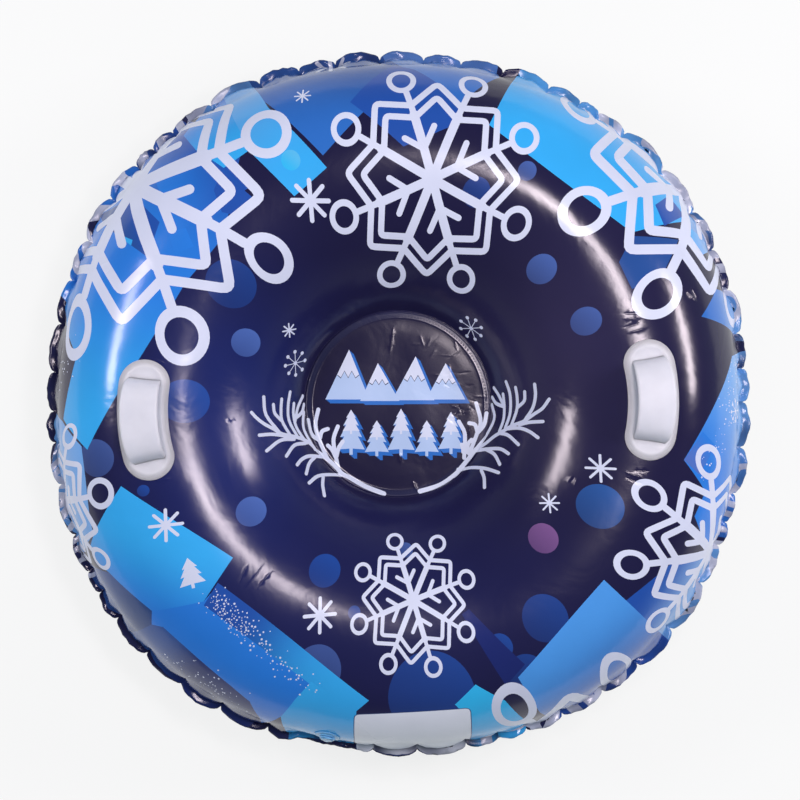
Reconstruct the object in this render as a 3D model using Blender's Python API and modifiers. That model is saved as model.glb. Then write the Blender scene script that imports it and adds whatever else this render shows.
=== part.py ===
"""Inflatable snow tube: two discs of film welded at a puckered outer seam and round the seat's floor,
two moulded handles welded to the crown, and a push-in valve in the outer wall.

Metres, +Z up. The origin lies on the ground under the middle of the tube. +X runs to the right handle,
and -Y to the side that carries the valve.
"""

import bisect
import math

import bmesh
import bpy
from mathutils import Matrix, Vector

# The inflated tube
OVERALL_D = 0.945  # across the widest lobes of the outer seam
FLOOR_R = 0.123  # outer edge of the weld round the seat's floor
FLOOR_BAND = 0.010  # width of that weld
FIN_W = 0.011  # welded margin outside the chamber
LOBE_OUT = 0.013  # how far the widest lobe swells past the mean weld line
LOBE_IN = 0.009  # how far a crease is drawn in behind it
PLEAT_RUN = 0.050  # length of a crease up the wall, measured along the film
TOP_FILM = 0.0008
BOTTOM_FILM = 0.0010
FILM_GAP = 0.0003  # between the two films where they are welded
LAND_DEPTH = 0.0005  # how deep the ring that it stands on is pressed flat

# How the films are divided
LOBES = 54
POINTS_PER_LOBE = 3
INNER_ROWS = 6
OUTER_ROWS = 4
PLEAT_ROWS = 3
MERIDIAN_STEPS = 600
HALVINGS = 50  # of the crown's radius, down to the last digit

# Lobes are wider and narrower round the seam: waves round it, share of the mean width, phase
LOBE_DRIFT_SHARES = ((5, 0.13, 4.0), (9, 0.19, 0.6), (14, 0.22, 2.1))
LOBE_ROUNDNESS_SHARE = 0.6

# Both handles, bent from a flat moulding to the crown
SEAT_GAP = 0.0004  # between a moulding and the film that it is welded to
HANDLE_LENGTH = 0.154
HANDLE_WIDTH = 0.0645
HANDLE_PLATE = 0.0022
HANDLE_BOW_R = 0.22  # radius of the bow that the handle follows, concave to the seat
HANDLE_OUT = 0.007  # how far outside the crown the middle of a handle sits
HANDLE_AZIMUTHS_DEG = {"handle_right": 1.0, "handle_left": 183.6}
GRIP_SPAN = 0.102
GRIP_WIDTH = 0.041
GRIP_RISE = 0.030  # top of the grip above the plate's underside
GRIP_THICK = 0.005
GRIP_FOOT = 0.007  # thickness of the grip where it stands on the plate
ARCH_POWER = 2.6  # exponent of the arch: 2 is an ellipse, higher is squarer
# Across the grip from one edge to its middle: place as a share of the half width, and how far both faces
# are drawn together as a share of half the thickness
GRIP_SECTION_SHARES = ((1.0, 0.75), (0.93, 0.22), (0.8, 0.0), (0.0, -0.2))
PLATE_STATIONS = 18
PLATE_LANES = 6
ARCH_POINTS = 12

# The valve, in the outer wall just above the seam
VALVE_AZIMUTH_DEG = 258.0
VALVE_RISE = 0.046  # from the weld line up the wall to the valve's middle
VALVE_CALM = 0.030  # half-width of seam that the valve's flange holds free of creases
VALVE_FADE = 0.030  # distance over which the creases come back
FLANGE_R = 0.017
FLANGE_T = 0.0012
COLLAR_R = 0.0105
COLLAR_T = 0.0024
STEM_R = 0.0070
STEM_BORE_R = 0.0042
STEM_LENGTH = 0.024
STEM_CLEARANCE = 0.0005
STEM_LIP_R = 0.0096
STEM_LIP_T = 0.0016
PLUG_CLEARANCE = 0.0002
PLUG_PEG_LENGTH = 0.008
PLUG_HEAD_R = 0.0078
PLUG_HEAD_T = 0.0015
FLAP_R = 0.0060
FLAP_T = 0.0008
PART_GAP = 0.0003  # between valve pieces that touch
TETHER_D = 0.0016
TETHER_BULGE = 0.0028  # how far the strap's loop stands out past the stem's lip
TETHER_START_DEG = 20.0
TETHER_END_DEG = 110.0
TETHER_CLIMB_SHARE = 1.6  # how much sooner the strap climbs than it turns in
TETHER_TURN_POWER = 3  # power of the way along by which the strap comes in to the plug
TETHER_BEVEL_STEPS = 2  # points between the quarters of the strap's section
TAB_R = 0.0030
TAB_OUT = 0.0030  # how far the plug's tab stands out past its head
ROUND_SIDES = 28
TETHER_POINTS = 9
EDGE_ROUND = 0.0004
CUT_REACH = 0.020  # length of the cutter that opens the film
MERGE = 0.00001
SHARP_DEG = 40  # edges that turn by more than this stay sharp

# Finishes: colour and roughness
PRINTED_FILM = ((0.018, 0.017, 0.075, 1.0), 0.22)
BASE_FILM = ((0.010, 0.012, 0.030, 1.0), 0.35)
HANDLE_MOULDING = ((0.78, 0.80, 0.88, 1.0), 0.35)
VALVE_MOULDING = ((0.10, 0.30, 0.62, 1.0), 0.3)

WELD_R = OVERALL_D / 2 - FIN_W - LOBE_OUT


# The meridian of the film


def squares_gap(a, b):
    return a * a - b * b


def slope_at_floor(crown_r):
    """Slope of the film where it leaves the floor's weld, for a crown at this radius."""
    return -math.asin(squares_gap(crown_r, FLOOR_R) / squares_gap(WELD_R, crown_r))


def walk(crown_r):
    """Stations (arc, radius, height, slope) from the floor's weld over the crown to the outer weld.

    An unstretched film that puckers carries its load along the meridian alone, so its curvature grows
    with the radius. It stands upright at the outer weld.
    """
    bend = 2 / squares_gap(WELD_R, crown_r)
    start = slope_at_floor(crown_r)
    step = (math.pi / 2 - start) / MERIDIAN_STEPS
    arc = 0.0
    height = 0.0
    stations = [(arc, FLOOR_R, height, start)]
    for index in range(MERIDIAN_STEPS):
        slope = start + (index + 0.5) * step
        radius = math.sqrt(WELD_R * WELD_R - 2 * (1 - math.sin(slope)) / bend)
        length = step / (bend * radius)
        arc += length
        height -= math.sin(slope) * length
        end = start + (index + 1) * step
        radius = math.sqrt(WELD_R * WELD_R - 2 * (1 - math.sin(end)) / bend)
        stations.append((arc, radius, height, end))
    return stations


def crown_radius():
    """The crown's radius at which both welds lie in one plane, found by halving."""
    low = FLOOR_R
    high = math.sqrt((WELD_R * WELD_R + FLOOR_R * FLOOR_R) / 2)
    for _ in range(HALVINGS):
        middle = (low + high) / 2
        if walk(middle)[-1][2] > 0:
            high = middle
        else:
            low = middle
    return low


CROWN_R = crown_radius()
MERIDIAN = walk(CROWN_R)
ARCS = [station[0] for station in MERIDIAN]
WELD_ARC = ARCS[-1]
CROWN_HEIGHT = max(station[2] for station in MERIDIAN)
MID_Z = CROWN_HEIGHT + FILM_GAP / 2 + BOTTOM_FILM - LAND_DEPTH  # height of the seam's plane


def station_at(arc):
    """(radius, height, slope) of the meridian at this arc length from the floor's weld."""
    index = min(max(bisect.bisect_right(ARCS, arc) - 1, 0), MERIDIAN_STEPS - 1)
    before, after = MERIDIAN[index], MERIDIAN[index + 1]
    share = (arc - before[0]) / (after[0] - before[0])
    return tuple(a + (b - a) * share for a, b in zip(before[1:], after[1:]))


def arc_where(test):
    """Arc length of the first station that passes the test."""
    return next(station[0] for station in MERIDIAN if test(station))


def rows_between(start, end, count):
    """Arc lengths that split a stretch of the meridian into strips that stand off it by the same height."""
    inside = [s for s in MERIDIAN if start <= s[0] <= end]
    measure = [0.0]
    for a, b in zip(inside, inside[1:]):
        measure.append(measure[-1] + math.sqrt((b[3] - a[3]) * (b[0] - a[0])))
    rows = []
    for index in range(1, count):
        reach = measure[-1] * index / count
        rows.append(inside[bisect.bisect_left(measure, reach)][0])
    return [start, *rows, end]


# The puckered seam


def lobe_angle(turn):
    """Azimuth of a share of the way round, counted in lobes of unequal width."""
    drift = sum(
        share / waves * math.sin(waves * math.tau * turn + phase)
        for waves, share, phase in LOBE_DRIFT_SHARES
    )
    return math.tau * turn + drift


def lobe_width_share(turn):
    """Width of the lobe here as a share of the widest that the drift can give."""
    width = 1 + sum(
        share * math.cos(waves * math.tau * turn + phase)
        for waves, share, phase in LOBE_DRIFT_SHARES
    )
    return width / (1 + sum(share for _, share, _ in LOBE_DRIFT_SHARES))


def smooth(share):
    share = min(max(share, 0.0), 1.0)
    return share * share * (3 - 2 * share)


def calm_share(angle):
    """0 where the valve's flange holds the wall smooth, 1 away from it."""
    turn = math.remainder(angle - math.radians(VALVE_AZIMUTH_DEG), math.tau)
    return smooth((abs(turn) * WELD_R - VALVE_CALM) / VALVE_FADE)


def swell(turn):
    """How far the film stands off its mean line at the weld: out in a lobe, in at a crease."""
    across = (turn * LOBES) % 1.0
    bump = math.sin(math.pi * across) ** LOBE_ROUNDNESS_SHARE
    lobe_out = LOBE_OUT * lobe_width_share(turn)
    return (-LOBE_IN + (LOBE_IN + lobe_out) * bump) * calm_share(lobe_angle(turn))


def film_point(turn, arc, side):
    """A point of a film's air side. side is 1 for the top film and -1 for the bottom one."""
    radius, height, slope = station_at(arc)
    lift = smooth((arc - WELD_ARC + PLEAT_RUN) / PLEAT_RUN) * swell(turn)
    radius += lift * math.sin(slope)
    height += lift * math.cos(slope)
    if side < 0:
        height = min(height, CROWN_HEIGHT - LAND_DEPTH)
    angle = lobe_angle(turn)
    z = MID_Z + side * (height + FILM_GAP / 2)
    return Vector((radius * math.cos(angle), radius * math.sin(angle), z))


def ring(radius, side):
    """A flat ring of points on the weld's plane, one to a lobe."""
    z = MID_Z + side * FILM_GAP / 2
    angles = [lobe_angle(index / LOBES) for index in range(LOBES)]
    return [Vector((radius * math.cos(a), radius * math.sin(a), z)) for a in angles]


def fin_edge(side):
    """The outer edge of the welded margin, which follows the lobes."""
    count = LOBES * POINTS_PER_LOBE
    points = []
    for index in range(count):
        point = film_point(index / count, WELD_ARC, side)
        outward = Vector((point.x, point.y, 0.0)).normalized()
        points.append(point + outward * FIN_W)
    return points


def film_rows(side):
    """Rows of points from the floor to the seam's edge: one point to a lobe, then several in the pleats."""
    land_in = arc_where(lambda s: s[2] >= CROWN_HEIGHT - LAND_DEPTH)
    land_out = arc_where(lambda s: s[1] > CROWN_R and s[2] <= CROWN_HEIGHT - LAND_DEPTH)
    pleat_start = WELD_ARC - PLEAT_RUN
    plain = rows_between(0.0, land_in, INNER_ROWS) + rows_between(land_out, pleat_start, OUTER_ROWS)
    pleated = rows_between(pleat_start, WELD_ARC, PLEAT_ROWS)[1:]
    rows = [ring(FLOOR_R - FLOOR_BAND, side)]
    rows += [[film_point(index / LOBES, arc, side) for index in range(LOBES)] for arc in plain]
    count = LOBES * POINTS_PER_LOBE
    rows += [[film_point(index / count, arc, side) for index in range(count)] for arc in pleated]
    rows.append(fin_edge(side))
    return rows


def join_rings(bm, inner, outer):
    """Faces between two closed rings of vertices. The outer one may have several vertices to each inner one."""
    ratio = len(outer) // len(inner)
    half = ratio // 2
    for index, a in enumerate(inner):
        b = inner[(index + 1) % len(inner)]
        fine = [outer[(index * ratio + step) % len(outer)] for step in range(ratio + 1)]
        for step in range(half):
            bm.faces.new((a, fine[step], fine[step + 1]))
        bm.faces.new((a, *fine[half : ratio - half + 1], b))
        for step in range(ratio - half, ratio):
            bm.faces.new((b, fine[step], fine[step + 1]))


def film_mesh(name, side):
    """The film's air side as an open surface whose faces look out of the chamber."""
    bm = bmesh.new()
    rows = [[bm.verts.new(point) for point in row] for row in film_rows(side)]
    bm.faces.new(rows[0])
    for inner, outer in zip(rows, rows[1:]):
        join_rings(bm, inner, outer)
    if side < 0:
        bmesh.ops.reverse_faces(bm, faces=bm.faces[:])
    return mesh_from(bm, name)


# Scene helpers


def mesh_from(bm, name):
    mesh = bpy.data.meshes.new(name)
    bm.to_mesh(mesh)
    bm.free()
    return mesh


def new_collection(name):
    collection = bpy.data.collections.new(name)
    bpy.context.scene.collection.children.link(collection)
    return collection


def new_material(name, finish):
    color, roughness = finish
    material = bpy.data.materials.new(name)
    material.use_nodes = True
    shader = material.node_tree.nodes["Principled BSDF"]
    shader.inputs["Base Color"].default_value = color
    shader.inputs["Roughness"].default_value = roughness
    shader.inputs["Metallic"].default_value = 0.0
    return material


def add_object(name, data, collection, material=None, at=None):
    obj = bpy.data.objects.new(name, data)
    if material:
        data.materials.append(material)
    if at:
        obj.matrix_world = at
    collection.objects.link(obj)
    return obj


def add_helper(name, data, helpers, at=None):
    """A cutter or a blank, which is no part of the object."""
    obj = add_object(name, data, helpers, at=at)
    obj.hide_render = True
    obj.display_type = "WIRE"
    return obj


def shade(obj):
    obj.data.shade_smooth()
    obj.data.set_sharp_from_angle(angle=math.radians(SHARP_DEG))


def applied_mesh(obj):
    """The object's mesh with its modifiers applied. The object is removed."""
    graph = bpy.context.evaluated_depsgraph_get()
    mesh = bpy.data.meshes.new_from_object(obj.evaluated_get(graph))
    bpy.data.objects.remove(obj)
    return mesh


def combine(obj, other, operation):
    modifier = obj.modifiers.new(operation.lower(), "BOOLEAN")
    modifier.operation = operation
    modifier.object = other
    modifier.solver = "EXACT"


def thicken(obj, thickness):
    """Adds thickness on the side that the faces look to."""
    modifier = obj.modifiers.new("thickness", "SOLIDIFY")
    modifier.thickness = thickness
    modifier.offset = 1.0
    modifier.use_even_offset = True


def turn(obj, sides):
    """Turns a profile about Z."""
    modifier = obj.modifiers.new("turn", "SCREW")
    modifier.steps = sides
    modifier.render_steps = sides
    modifier.use_merge_vertices = True
    modifier.merge_threshold = MERGE


def profile_mesh(name, outline, closed=True):
    """An outline of (radius, height) as edges, run down the outer side of what it turns into."""
    bm = bmesh.new()
    points = [bm.verts.new((radius, 0.0, height)) for radius, height in outline]
    for a, b in zip(points, points[1:]):
        bm.edges.new((a, b))
    if closed:
        bm.edges.new((points[-1], points[0]))
    return mesh_from(bm, name)


def cylinder_mesh(name, radius, depth, sides):
    bm = bmesh.new()
    bmesh.ops.create_cone(
        bm, cap_ends=True, segments=sides, radius1=radius, radius2=radius, depth=depth
    )
    return mesh_from(bm, name)


# Places on the tube


class Seat:
    """A place on the top film's outer face: u runs round the tube, v down the film and outward, h off it."""

    def __init__(self, azimuth_deg, arc):
        self.azimuth = math.radians(azimuth_deg)
        self.arc = arc
        self.radius, _, self.slope = station_at(arc)

    def point(self, u, v, h):
        radius, height, slope = station_at(self.arc + v)
        off = TOP_FILM + h
        radius += off * math.sin(slope)
        z = MID_Z + FILM_GAP / 2 + height + off * math.cos(slope)
        angle = self.azimuth + u / self.radius
        return Vector((radius * math.cos(angle), radius * math.sin(angle), z))

    def frame(self):
        """Matrix with X along u, Y up the film and Z straight off it."""
        outward = Vector((math.cos(self.azimuth), math.sin(self.azimuth), 0.0))
        x = Vector((-math.sin(self.azimuth), math.cos(self.azimuth), 0.0))
        z = outward * math.sin(self.slope) + Vector((0.0, 0.0, math.cos(self.slope)))
        axes = Matrix((x, z.cross(x), z)).transposed().to_4x4()
        return Matrix.Translation(self.point(0.0, 0.0, 0.0)) @ axes


def bend_onto(mesh, seat, bow_r=None):
    """Bends a flat moulding onto the film: X runs along u, Y up the film and Z off it."""
    ease = 1 / seat.radius - 1 / bow_r if bow_r else 0.0
    for vertex in mesh.vertices:
        x, y, z = vertex.co
        vertex.co = seat.point(x, ease * x * x / 2 - y, z)
    mesh.update()


# Films


def top_sheet(parts, helpers, material):
    obj = add_object("top_sheet", film_mesh("top_sheet", 1), parts, material)
    thicken(obj, TOP_FILM)
    hole = cylinder_mesh("valve_hole", STEM_R + 2 * STEM_CLEARANCE, CUT_REACH, ROUND_SIDES)
    combine(obj, add_helper("valve_hole", hole, helpers, VALVE_SEAT.frame()), "DIFFERENCE")
    shade(obj)


def bottom_sheet(parts, material):
    obj = add_object("bottom_sheet", film_mesh("bottom_sheet", -1), parts, material)
    thicken(obj, BOTTOM_FILM)
    shade(obj)


# Handles


def arch_points(half_span, rise):
    """Points (x, z) of a square-shouldered arch that stands on the middle of the plate's thickness."""
    foot = HANDLE_PLATE / 2
    points = []
    for index in range(ARCH_POINTS + 1):
        angle = math.pi * index / ARCH_POINTS
        across, up = math.cos(angle), math.sin(angle)
        x = -half_span * math.copysign(abs(across) ** (2 / ARCH_POWER), across)
        points.append((x, foot + (rise - foot) * abs(up) ** (2 / ARCH_POWER)))
    return points


def grip_mesh():
    """The grip: an arch along the plate, thinner over the fingers than at its feet, with rounded edges."""
    half = GRIP_WIDTH / 2
    edge = GRIP_THICK / 2
    lanes = [(half * lane, edge * pinch) for lane, pinch in GRIP_SECTION_SHARES]
    lanes += [(-y, pinch) for y, pinch in reversed(lanes[:-1])]
    bm = bmesh.new()
    loops = []
    for y, pinch in lanes:
        outer = arch_points(GRIP_SPAN / 2 - pinch, GRIP_RISE - pinch)
        inner = arch_points(GRIP_SPAN / 2 - GRIP_FOOT + pinch, GRIP_RISE - GRIP_THICK + pinch)
        loops.append([bm.verts.new((x, y, z)) for x, z in outer + inner[::-1]])
    for a, b in zip(loops, loops[1:]):
        for index in range(len(a)):
            after = (index + 1) % len(a)
            bm.faces.new((a[index], a[after], b[after], b[index]))
    bm.faces.new(loops[0])
    bm.faces.new(loops[-1][::-1])
    bmesh.ops.recalc_face_normals(bm, faces=bm.faces[:])
    return mesh_from(bm, "grip")


def plate_mesh():
    """The welded plate's underside: an oblong with round ends, in lanes that bend with the film."""
    bm = bmesh.new()
    end_r = HANDLE_WIDTH / 2
    straight = HANDLE_LENGTH / 2 - end_r
    rows = []
    for station in range(PLATE_STATIONS + 1):
        x = -HANDLE_LENGTH / 2 * math.cos(math.pi * station / PLATE_STATIONS)
        past = max(abs(x) - straight, 0.0)
        half = math.sqrt(max(end_r * end_r - past * past, 0.0))
        lanes = [half * (2 * lane / PLATE_LANES - 1) for lane in range(PLATE_LANES + 1)]
        rows.append([bm.verts.new((x, y, 0.0)) for y in lanes])
    for a, b in zip(rows, rows[1:]):
        for lane in range(PLATE_LANES):
            bm.faces.new((a[lane], b[lane], b[lane + 1], a[lane + 1]))
    bmesh.ops.remove_doubles(bm, verts=bm.verts[:], dist=MERGE)
    return mesh_from(bm, "plate")


def handle(name, azimuth_deg, parts, helpers, material):
    """Plate and grip as one soft moulding, made flat and bent onto the crown."""
    plate = add_helper(name + "_plate", plate_mesh(), helpers)
    thicken(plate, HANDLE_PLATE)
    grip = add_helper(name + "_grip", grip_mesh(), helpers)
    combine(plate, grip, "UNION")
    mesh = applied_mesh(plate)
    bpy.data.objects.remove(grip)
    mesh.transform(Matrix.Translation((0.0, 0.0, SEAT_GAP)))
    seat = Seat(azimuth_deg, arc_where(lambda s: s[1] >= CROWN_R + HANDLE_OUT))
    bend_onto(mesh, seat, HANDLE_BOW_R)
    shade(add_object(name, mesh, parts, material))


# Valve, whose pieces are set out along its axis from the film's outer face

VALVE_SEAT = Seat(VALVE_AZIMUTH_DEG, WELD_ARC - VALVE_RISE)
COLLAR_TOP = SEAT_GAP + COLLAR_T
LIP_TOP = COLLAR_TOP + PART_GAP + STEM_LIP_T
STEM_END = LIP_TOP - STEM_LENGTH
HEAD_LOW = LIP_TOP + PART_GAP


def valve_flange(parts, helpers, material):
    """The disc welded round the hole, with a collar that the stem slides in."""
    bore = STEM_R + STEM_CLEARANCE
    outline = (
        (bore, COLLAR_TOP),
        (COLLAR_R - EDGE_ROUND, COLLAR_TOP),
        (COLLAR_R, COLLAR_TOP - EDGE_ROUND),
        (COLLAR_R + EDGE_ROUND, SEAT_GAP + FLANGE_T),
        (FLANGE_R - EDGE_ROUND, SEAT_GAP + FLANGE_T),
        (FLANGE_R, SEAT_GAP + FLANGE_T - EDGE_ROUND),
        (FLANGE_R, SEAT_GAP),
        (COLLAR_R, SEAT_GAP),
        (bore, SEAT_GAP),
    )
    blank = add_helper("valve_flange_flat", profile_mesh("valve_flange", outline), helpers)
    turn(blank, ROUND_SIDES)
    mesh = applied_mesh(blank)
    bend_onto(mesh, VALVE_SEAT)
    shade(add_object("valve_flange", mesh, parts, material))


def valve_stem(parts, material):
    """The soft tube with a lip that keeps it from going right in."""
    outline = (
        (STEM_BORE_R, LIP_TOP),
        (STEM_LIP_R - EDGE_ROUND, LIP_TOP),
        (STEM_LIP_R, LIP_TOP - EDGE_ROUND),
        (STEM_LIP_R, LIP_TOP - STEM_LIP_T + EDGE_ROUND),
        (STEM_LIP_R - EDGE_ROUND, LIP_TOP - STEM_LIP_T),
        (STEM_R, LIP_TOP - STEM_LIP_T),
        (STEM_R, STEM_END),
        (STEM_BORE_R, STEM_END),
    )
    mesh = profile_mesh("valve_stem", outline)
    obj = add_object("valve_stem", mesh, parts, material, VALVE_SEAT.frame())
    turn(obj, ROUND_SIDES)


def valve_plug(parts, helpers, material):
    """The plug: a peg with a tapered nose, a domed head and a tab to pull it by."""
    peg_r = STEM_BORE_R - PLUG_CLEARANCE
    outline = (
        (0.0, HEAD_LOW + PLUG_HEAD_T),
        (PLUG_HEAD_R / 2, HEAD_LOW + PLUG_HEAD_T - EDGE_ROUND / 2),
        (PLUG_HEAD_R - EDGE_ROUND, HEAD_LOW + PLUG_HEAD_T - EDGE_ROUND),
        (PLUG_HEAD_R, HEAD_LOW + PLUG_HEAD_T - 2 * EDGE_ROUND),
        (PLUG_HEAD_R, HEAD_LOW),
        (peg_r, HEAD_LOW),
        (peg_r, HEAD_LOW - PLUG_PEG_LENGTH + 2 * EDGE_ROUND),
        (peg_r - 2 * EDGE_ROUND, HEAD_LOW - PLUG_PEG_LENGTH),
        (0.0, HEAD_LOW - PLUG_PEG_LENGTH),
    )
    frame = VALVE_SEAT.frame()
    mesh = profile_mesh("valve_plug", outline, closed=False)
    obj = add_object("valve_plug", mesh, parts, material, frame)
    turn(obj, ROUND_SIDES)
    tab_t = PLUG_HEAD_T - 2 * EDGE_ROUND
    tab_at = Matrix.Translation((0.0, TAB_R - PLUG_HEAD_R - TAB_OUT, HEAD_LOW + tab_t / 2 + EDGE_ROUND / 2))
    tab = cylinder_mesh("valve_plug_tab", TAB_R, tab_t, ROUND_SIDES // 2)
    combine(obj, add_helper("valve_plug_tab", tab, helpers, frame @ tab_at), "UNION")


def valve_flap(parts, material):
    """The non-return flap under the stem, with its origin on its hinge at the flap's upper edge."""
    hinge = Matrix.Translation((0.0, FLAP_R, STEM_END - PART_GAP - FLAP_T / 2))
    mesh = cylinder_mesh("valve_flap", FLAP_R, FLAP_T, ROUND_SIDES)
    mesh.transform(Matrix.Translation((0.0, -FLAP_R, 0.0)))
    add_object("valve_flap", mesh, parts, material, VALVE_SEAT.frame() @ hinge)


def valve_tether(parts, material):
    """The strap from the side of the stem's lip, out in a loop and in to the rim of the plug's head."""
    half = TETHER_D / 2
    start_r = STEM_LIP_R + PART_GAP + half
    end_r = PLUG_HEAD_R + PART_GAP + half
    start_h = LIP_TOP - STEM_LIP_T / 2
    end_h = HEAD_LOW + half
    curve = bpy.data.curves.new("valve_tether", "CURVE")
    curve.dimensions = "3D"
    curve.bevel_depth = half
    curve.bevel_resolution = TETHER_BEVEL_STEPS
    curve.use_fill_caps = True
    spline = curve.splines.new("POLY")
    spline.points.add(TETHER_POINTS - 1)
    for index, point in enumerate(spline.points):
        share = index / (TETHER_POINTS - 1)
        angle = math.radians(TETHER_START_DEG + (TETHER_END_DEG - TETHER_START_DEG) * share)
        radius = start_r + (end_r - start_r) * share**TETHER_TURN_POWER + TETHER_BULGE * math.sin(math.pi * share)
        height = start_h + (end_h - start_h) * smooth(share * TETHER_CLIMB_SHARE)
        point.co = (radius * math.cos(angle), radius * math.sin(angle), height, 1.0)
    add_object("valve_tether", curve, parts, material, VALVE_SEAT.frame())


def main():
    for obj in list(bpy.data.objects):
        bpy.data.objects.remove(obj)
    parts = new_collection("snow_tube")
    helpers = new_collection("cutters")
    helpers.hide_render = True
    film = new_material("printed_film", PRINTED_FILM)
    base = new_material("base_film", BASE_FILM)
    white = new_material("handle_moulding", HANDLE_MOULDING)
    blue = new_material("valve_moulding", VALVE_MOULDING)
    top_sheet(parts, helpers, film)
    bottom_sheet(parts, base)
    for name, azimuth_deg in HANDLE_AZIMUTHS_DEG.items():
        handle(name, azimuth_deg, parts, helpers, white)
    valve_flange(parts, helpers, blue)
    valve_stem(parts, blue)
    valve_plug(parts, helpers, blue)
    valve_flap(parts, blue)
    valve_tether(parts, blue)


main()
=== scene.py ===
"""Looks of the inflatable snow tube: printed top film, plain base film, soft handles, valve and studio.

The film keeps the shape that its solids have, an unstretched disc that puckers at the outer seam. The print
is laid out flat on the sheet as it was cut, and is wrapped onto the tube with the film.
"""

import math
import random

import bpy
import numpy as np
from bpy.props import FloatProperty, FloatVectorProperty, IntProperty, PointerProperty
from mathutils import Matrix, Vector
from mathutils.geometry import delaunay_2d_cdt


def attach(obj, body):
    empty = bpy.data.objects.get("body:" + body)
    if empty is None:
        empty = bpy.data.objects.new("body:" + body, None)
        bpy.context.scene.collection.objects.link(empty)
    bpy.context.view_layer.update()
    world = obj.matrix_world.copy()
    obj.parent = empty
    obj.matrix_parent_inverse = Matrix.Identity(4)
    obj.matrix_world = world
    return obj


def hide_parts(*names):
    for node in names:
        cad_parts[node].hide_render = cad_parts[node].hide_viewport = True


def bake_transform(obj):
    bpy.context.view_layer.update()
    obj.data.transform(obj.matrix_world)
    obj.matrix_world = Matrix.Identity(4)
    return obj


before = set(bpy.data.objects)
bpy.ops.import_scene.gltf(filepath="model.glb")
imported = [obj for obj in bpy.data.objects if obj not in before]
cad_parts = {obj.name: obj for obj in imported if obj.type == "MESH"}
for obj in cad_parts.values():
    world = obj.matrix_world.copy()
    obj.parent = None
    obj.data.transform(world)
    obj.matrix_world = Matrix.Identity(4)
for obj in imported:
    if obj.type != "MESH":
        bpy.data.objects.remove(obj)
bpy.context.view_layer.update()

bl_info = {
    "name": "Snow Tube",
    "version": (1, 0, 0),
    "blender": (4, 5, 0),
    "location": "View3D > Sidebar > Snow Tube",
    "description": "Builds the look of an inflatable snow tube round its solids",
    "category": "Object",
}

# Sizes that the solids have too
OVERALL_D = 0.945
FLOOR_R = 0.123
FLOOR_BAND = 0.010
FIN_W = 0.011
LOBE_OUT = 0.013
LOBE_IN = 0.0040
PLEAT_RUN = 0.038
TOP_FILM = 0.0008
BOTTOM_FILM = 0.0010
FILM_GAP = 0.0003
LAND_DEPTH = 0.0005
LOBES = 54
LOBE_DRIFT = ((5, 0.13, 4.0), (9, 0.19, 0.6), (14, 0.22, 2.1))
LOBE_ROUNDNESS = 0.42
SEAT_GAP = 0.0004
HANDLE_LENGTH = 0.154
HANDLE_WIDTH = 0.0645
HANDLE_PLATE = 0.0022
HANDLE_BOW_R = 0.22
HANDLE_OUT = 0.007
HANDLE_AZIMUTHS = {"handle_right": 1.0, "handle_left": 183.6}
GRIP_SPAN = 0.102
GRIP_WIDTH = 0.041
GRIP_RISE = 0.030
GRIP_THICK = 0.005
GRIP_FOOT = 0.007
ARCH_POWER = 2.6
VALVE_AZIMUTH = 258.0
VALVE_RISE = 0.046
VALVE_CALM = 0.030
VALVE_FADE = 0.030
VALVE_HOLE_R = 0.0080
STEM_LIP_R = 0.0096
PLUG_HEAD_R = 0.0078
LIP_TOP = 0.0047
LIP_HEIGHT = 0.0016
HEAD_LOW = 0.0050
PART_GAP = 0.0003
STRAP_BULGE = 0.0028
STRAP_TURN = (20.0, 110.0)
STRAP_CLIMB = 1.6
STRAP_SIDES = 12
STRAP_FLATNESS = 0.36

WELD_R = OVERALL_D / 2 - FIN_W - LOBE_OUT
STEPS = 600
EDGE_FOLD = 0.0008

# The seam isn't quite round: how far out it stands, how much more of that is between the handles and the ends,
# and the radius where it starts
SEAM_OUT = 0.0048
SEAM_SQUARE = 0.0052
SETTLE_R = 0.36


# The meridian of the film


def walk(crown_r):
    """Arc lengths, radii, heights and slopes from the floor's weld over the crown to the outer weld."""
    bend = 2 / (WELD_R**2 - crown_r**2)
    start = -math.asin((crown_r**2 - FLOOR_R**2) / (WELD_R**2 - crown_r**2))
    slope = np.linspace(start, math.pi / 2, STEPS + 1)
    middle = (slope[1:] + slope[:-1]) / 2
    step = slope[1] - slope[0]
    length = step / (bend * np.sqrt(WELD_R**2 - 2 * (1 - np.sin(middle)) / bend))
    arc = np.concatenate(([0.0], np.cumsum(length)))
    height = np.concatenate(([0.0], np.cumsum(-np.sin(middle) * length)))
    radius = np.sqrt(WELD_R**2 - 2 * (1 - np.sin(slope)) / bend)
    return arc, radius, height, slope


def meridian():
    """The meridian whose two welds lie in one plane."""
    low, high = FLOOR_R, math.sqrt((WELD_R**2 + FLOOR_R**2) / 2)
    for _ in range(50):
        middle = (low + high) / 2
        if walk(middle)[2][-1] > 0:
            high = middle
        else:
            low = middle
    return walk(low)


ARC, RADIUS, HEIGHT, SLOPE = meridian()
WELD_ARC = ARC[-1]
CROWN_HEIGHT = HEIGHT.max()
CROWN_R = float(RADIUS[HEIGHT.argmax()])
MID_Z = CROWN_HEIGHT + FILM_GAP / 2 + BOTTOM_FILM - LAND_DEPTH
FIN_END = FLOOR_R + WELD_ARC + FIN_W
SHEET_R = FIN_END + EDGE_FOLD


# The puckered seam


def lobe_angle(turn):
    """Azimuth of a share of the way round, counted in lobes of unequal width."""
    drift = sum(s / w * np.sin(w * math.tau * turn + p) for w, s, p in LOBE_DRIFT)
    return math.tau * turn + drift


TURNS = np.linspace(0, 1, 5401)
ANGLES = lobe_angle(TURNS)


def turn_at(angle):
    """Share of the way round at an azimuth."""
    return np.interp((angle - ANGLES[0]) % math.tau + ANGLES[0], ANGLES, TURNS)


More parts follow.
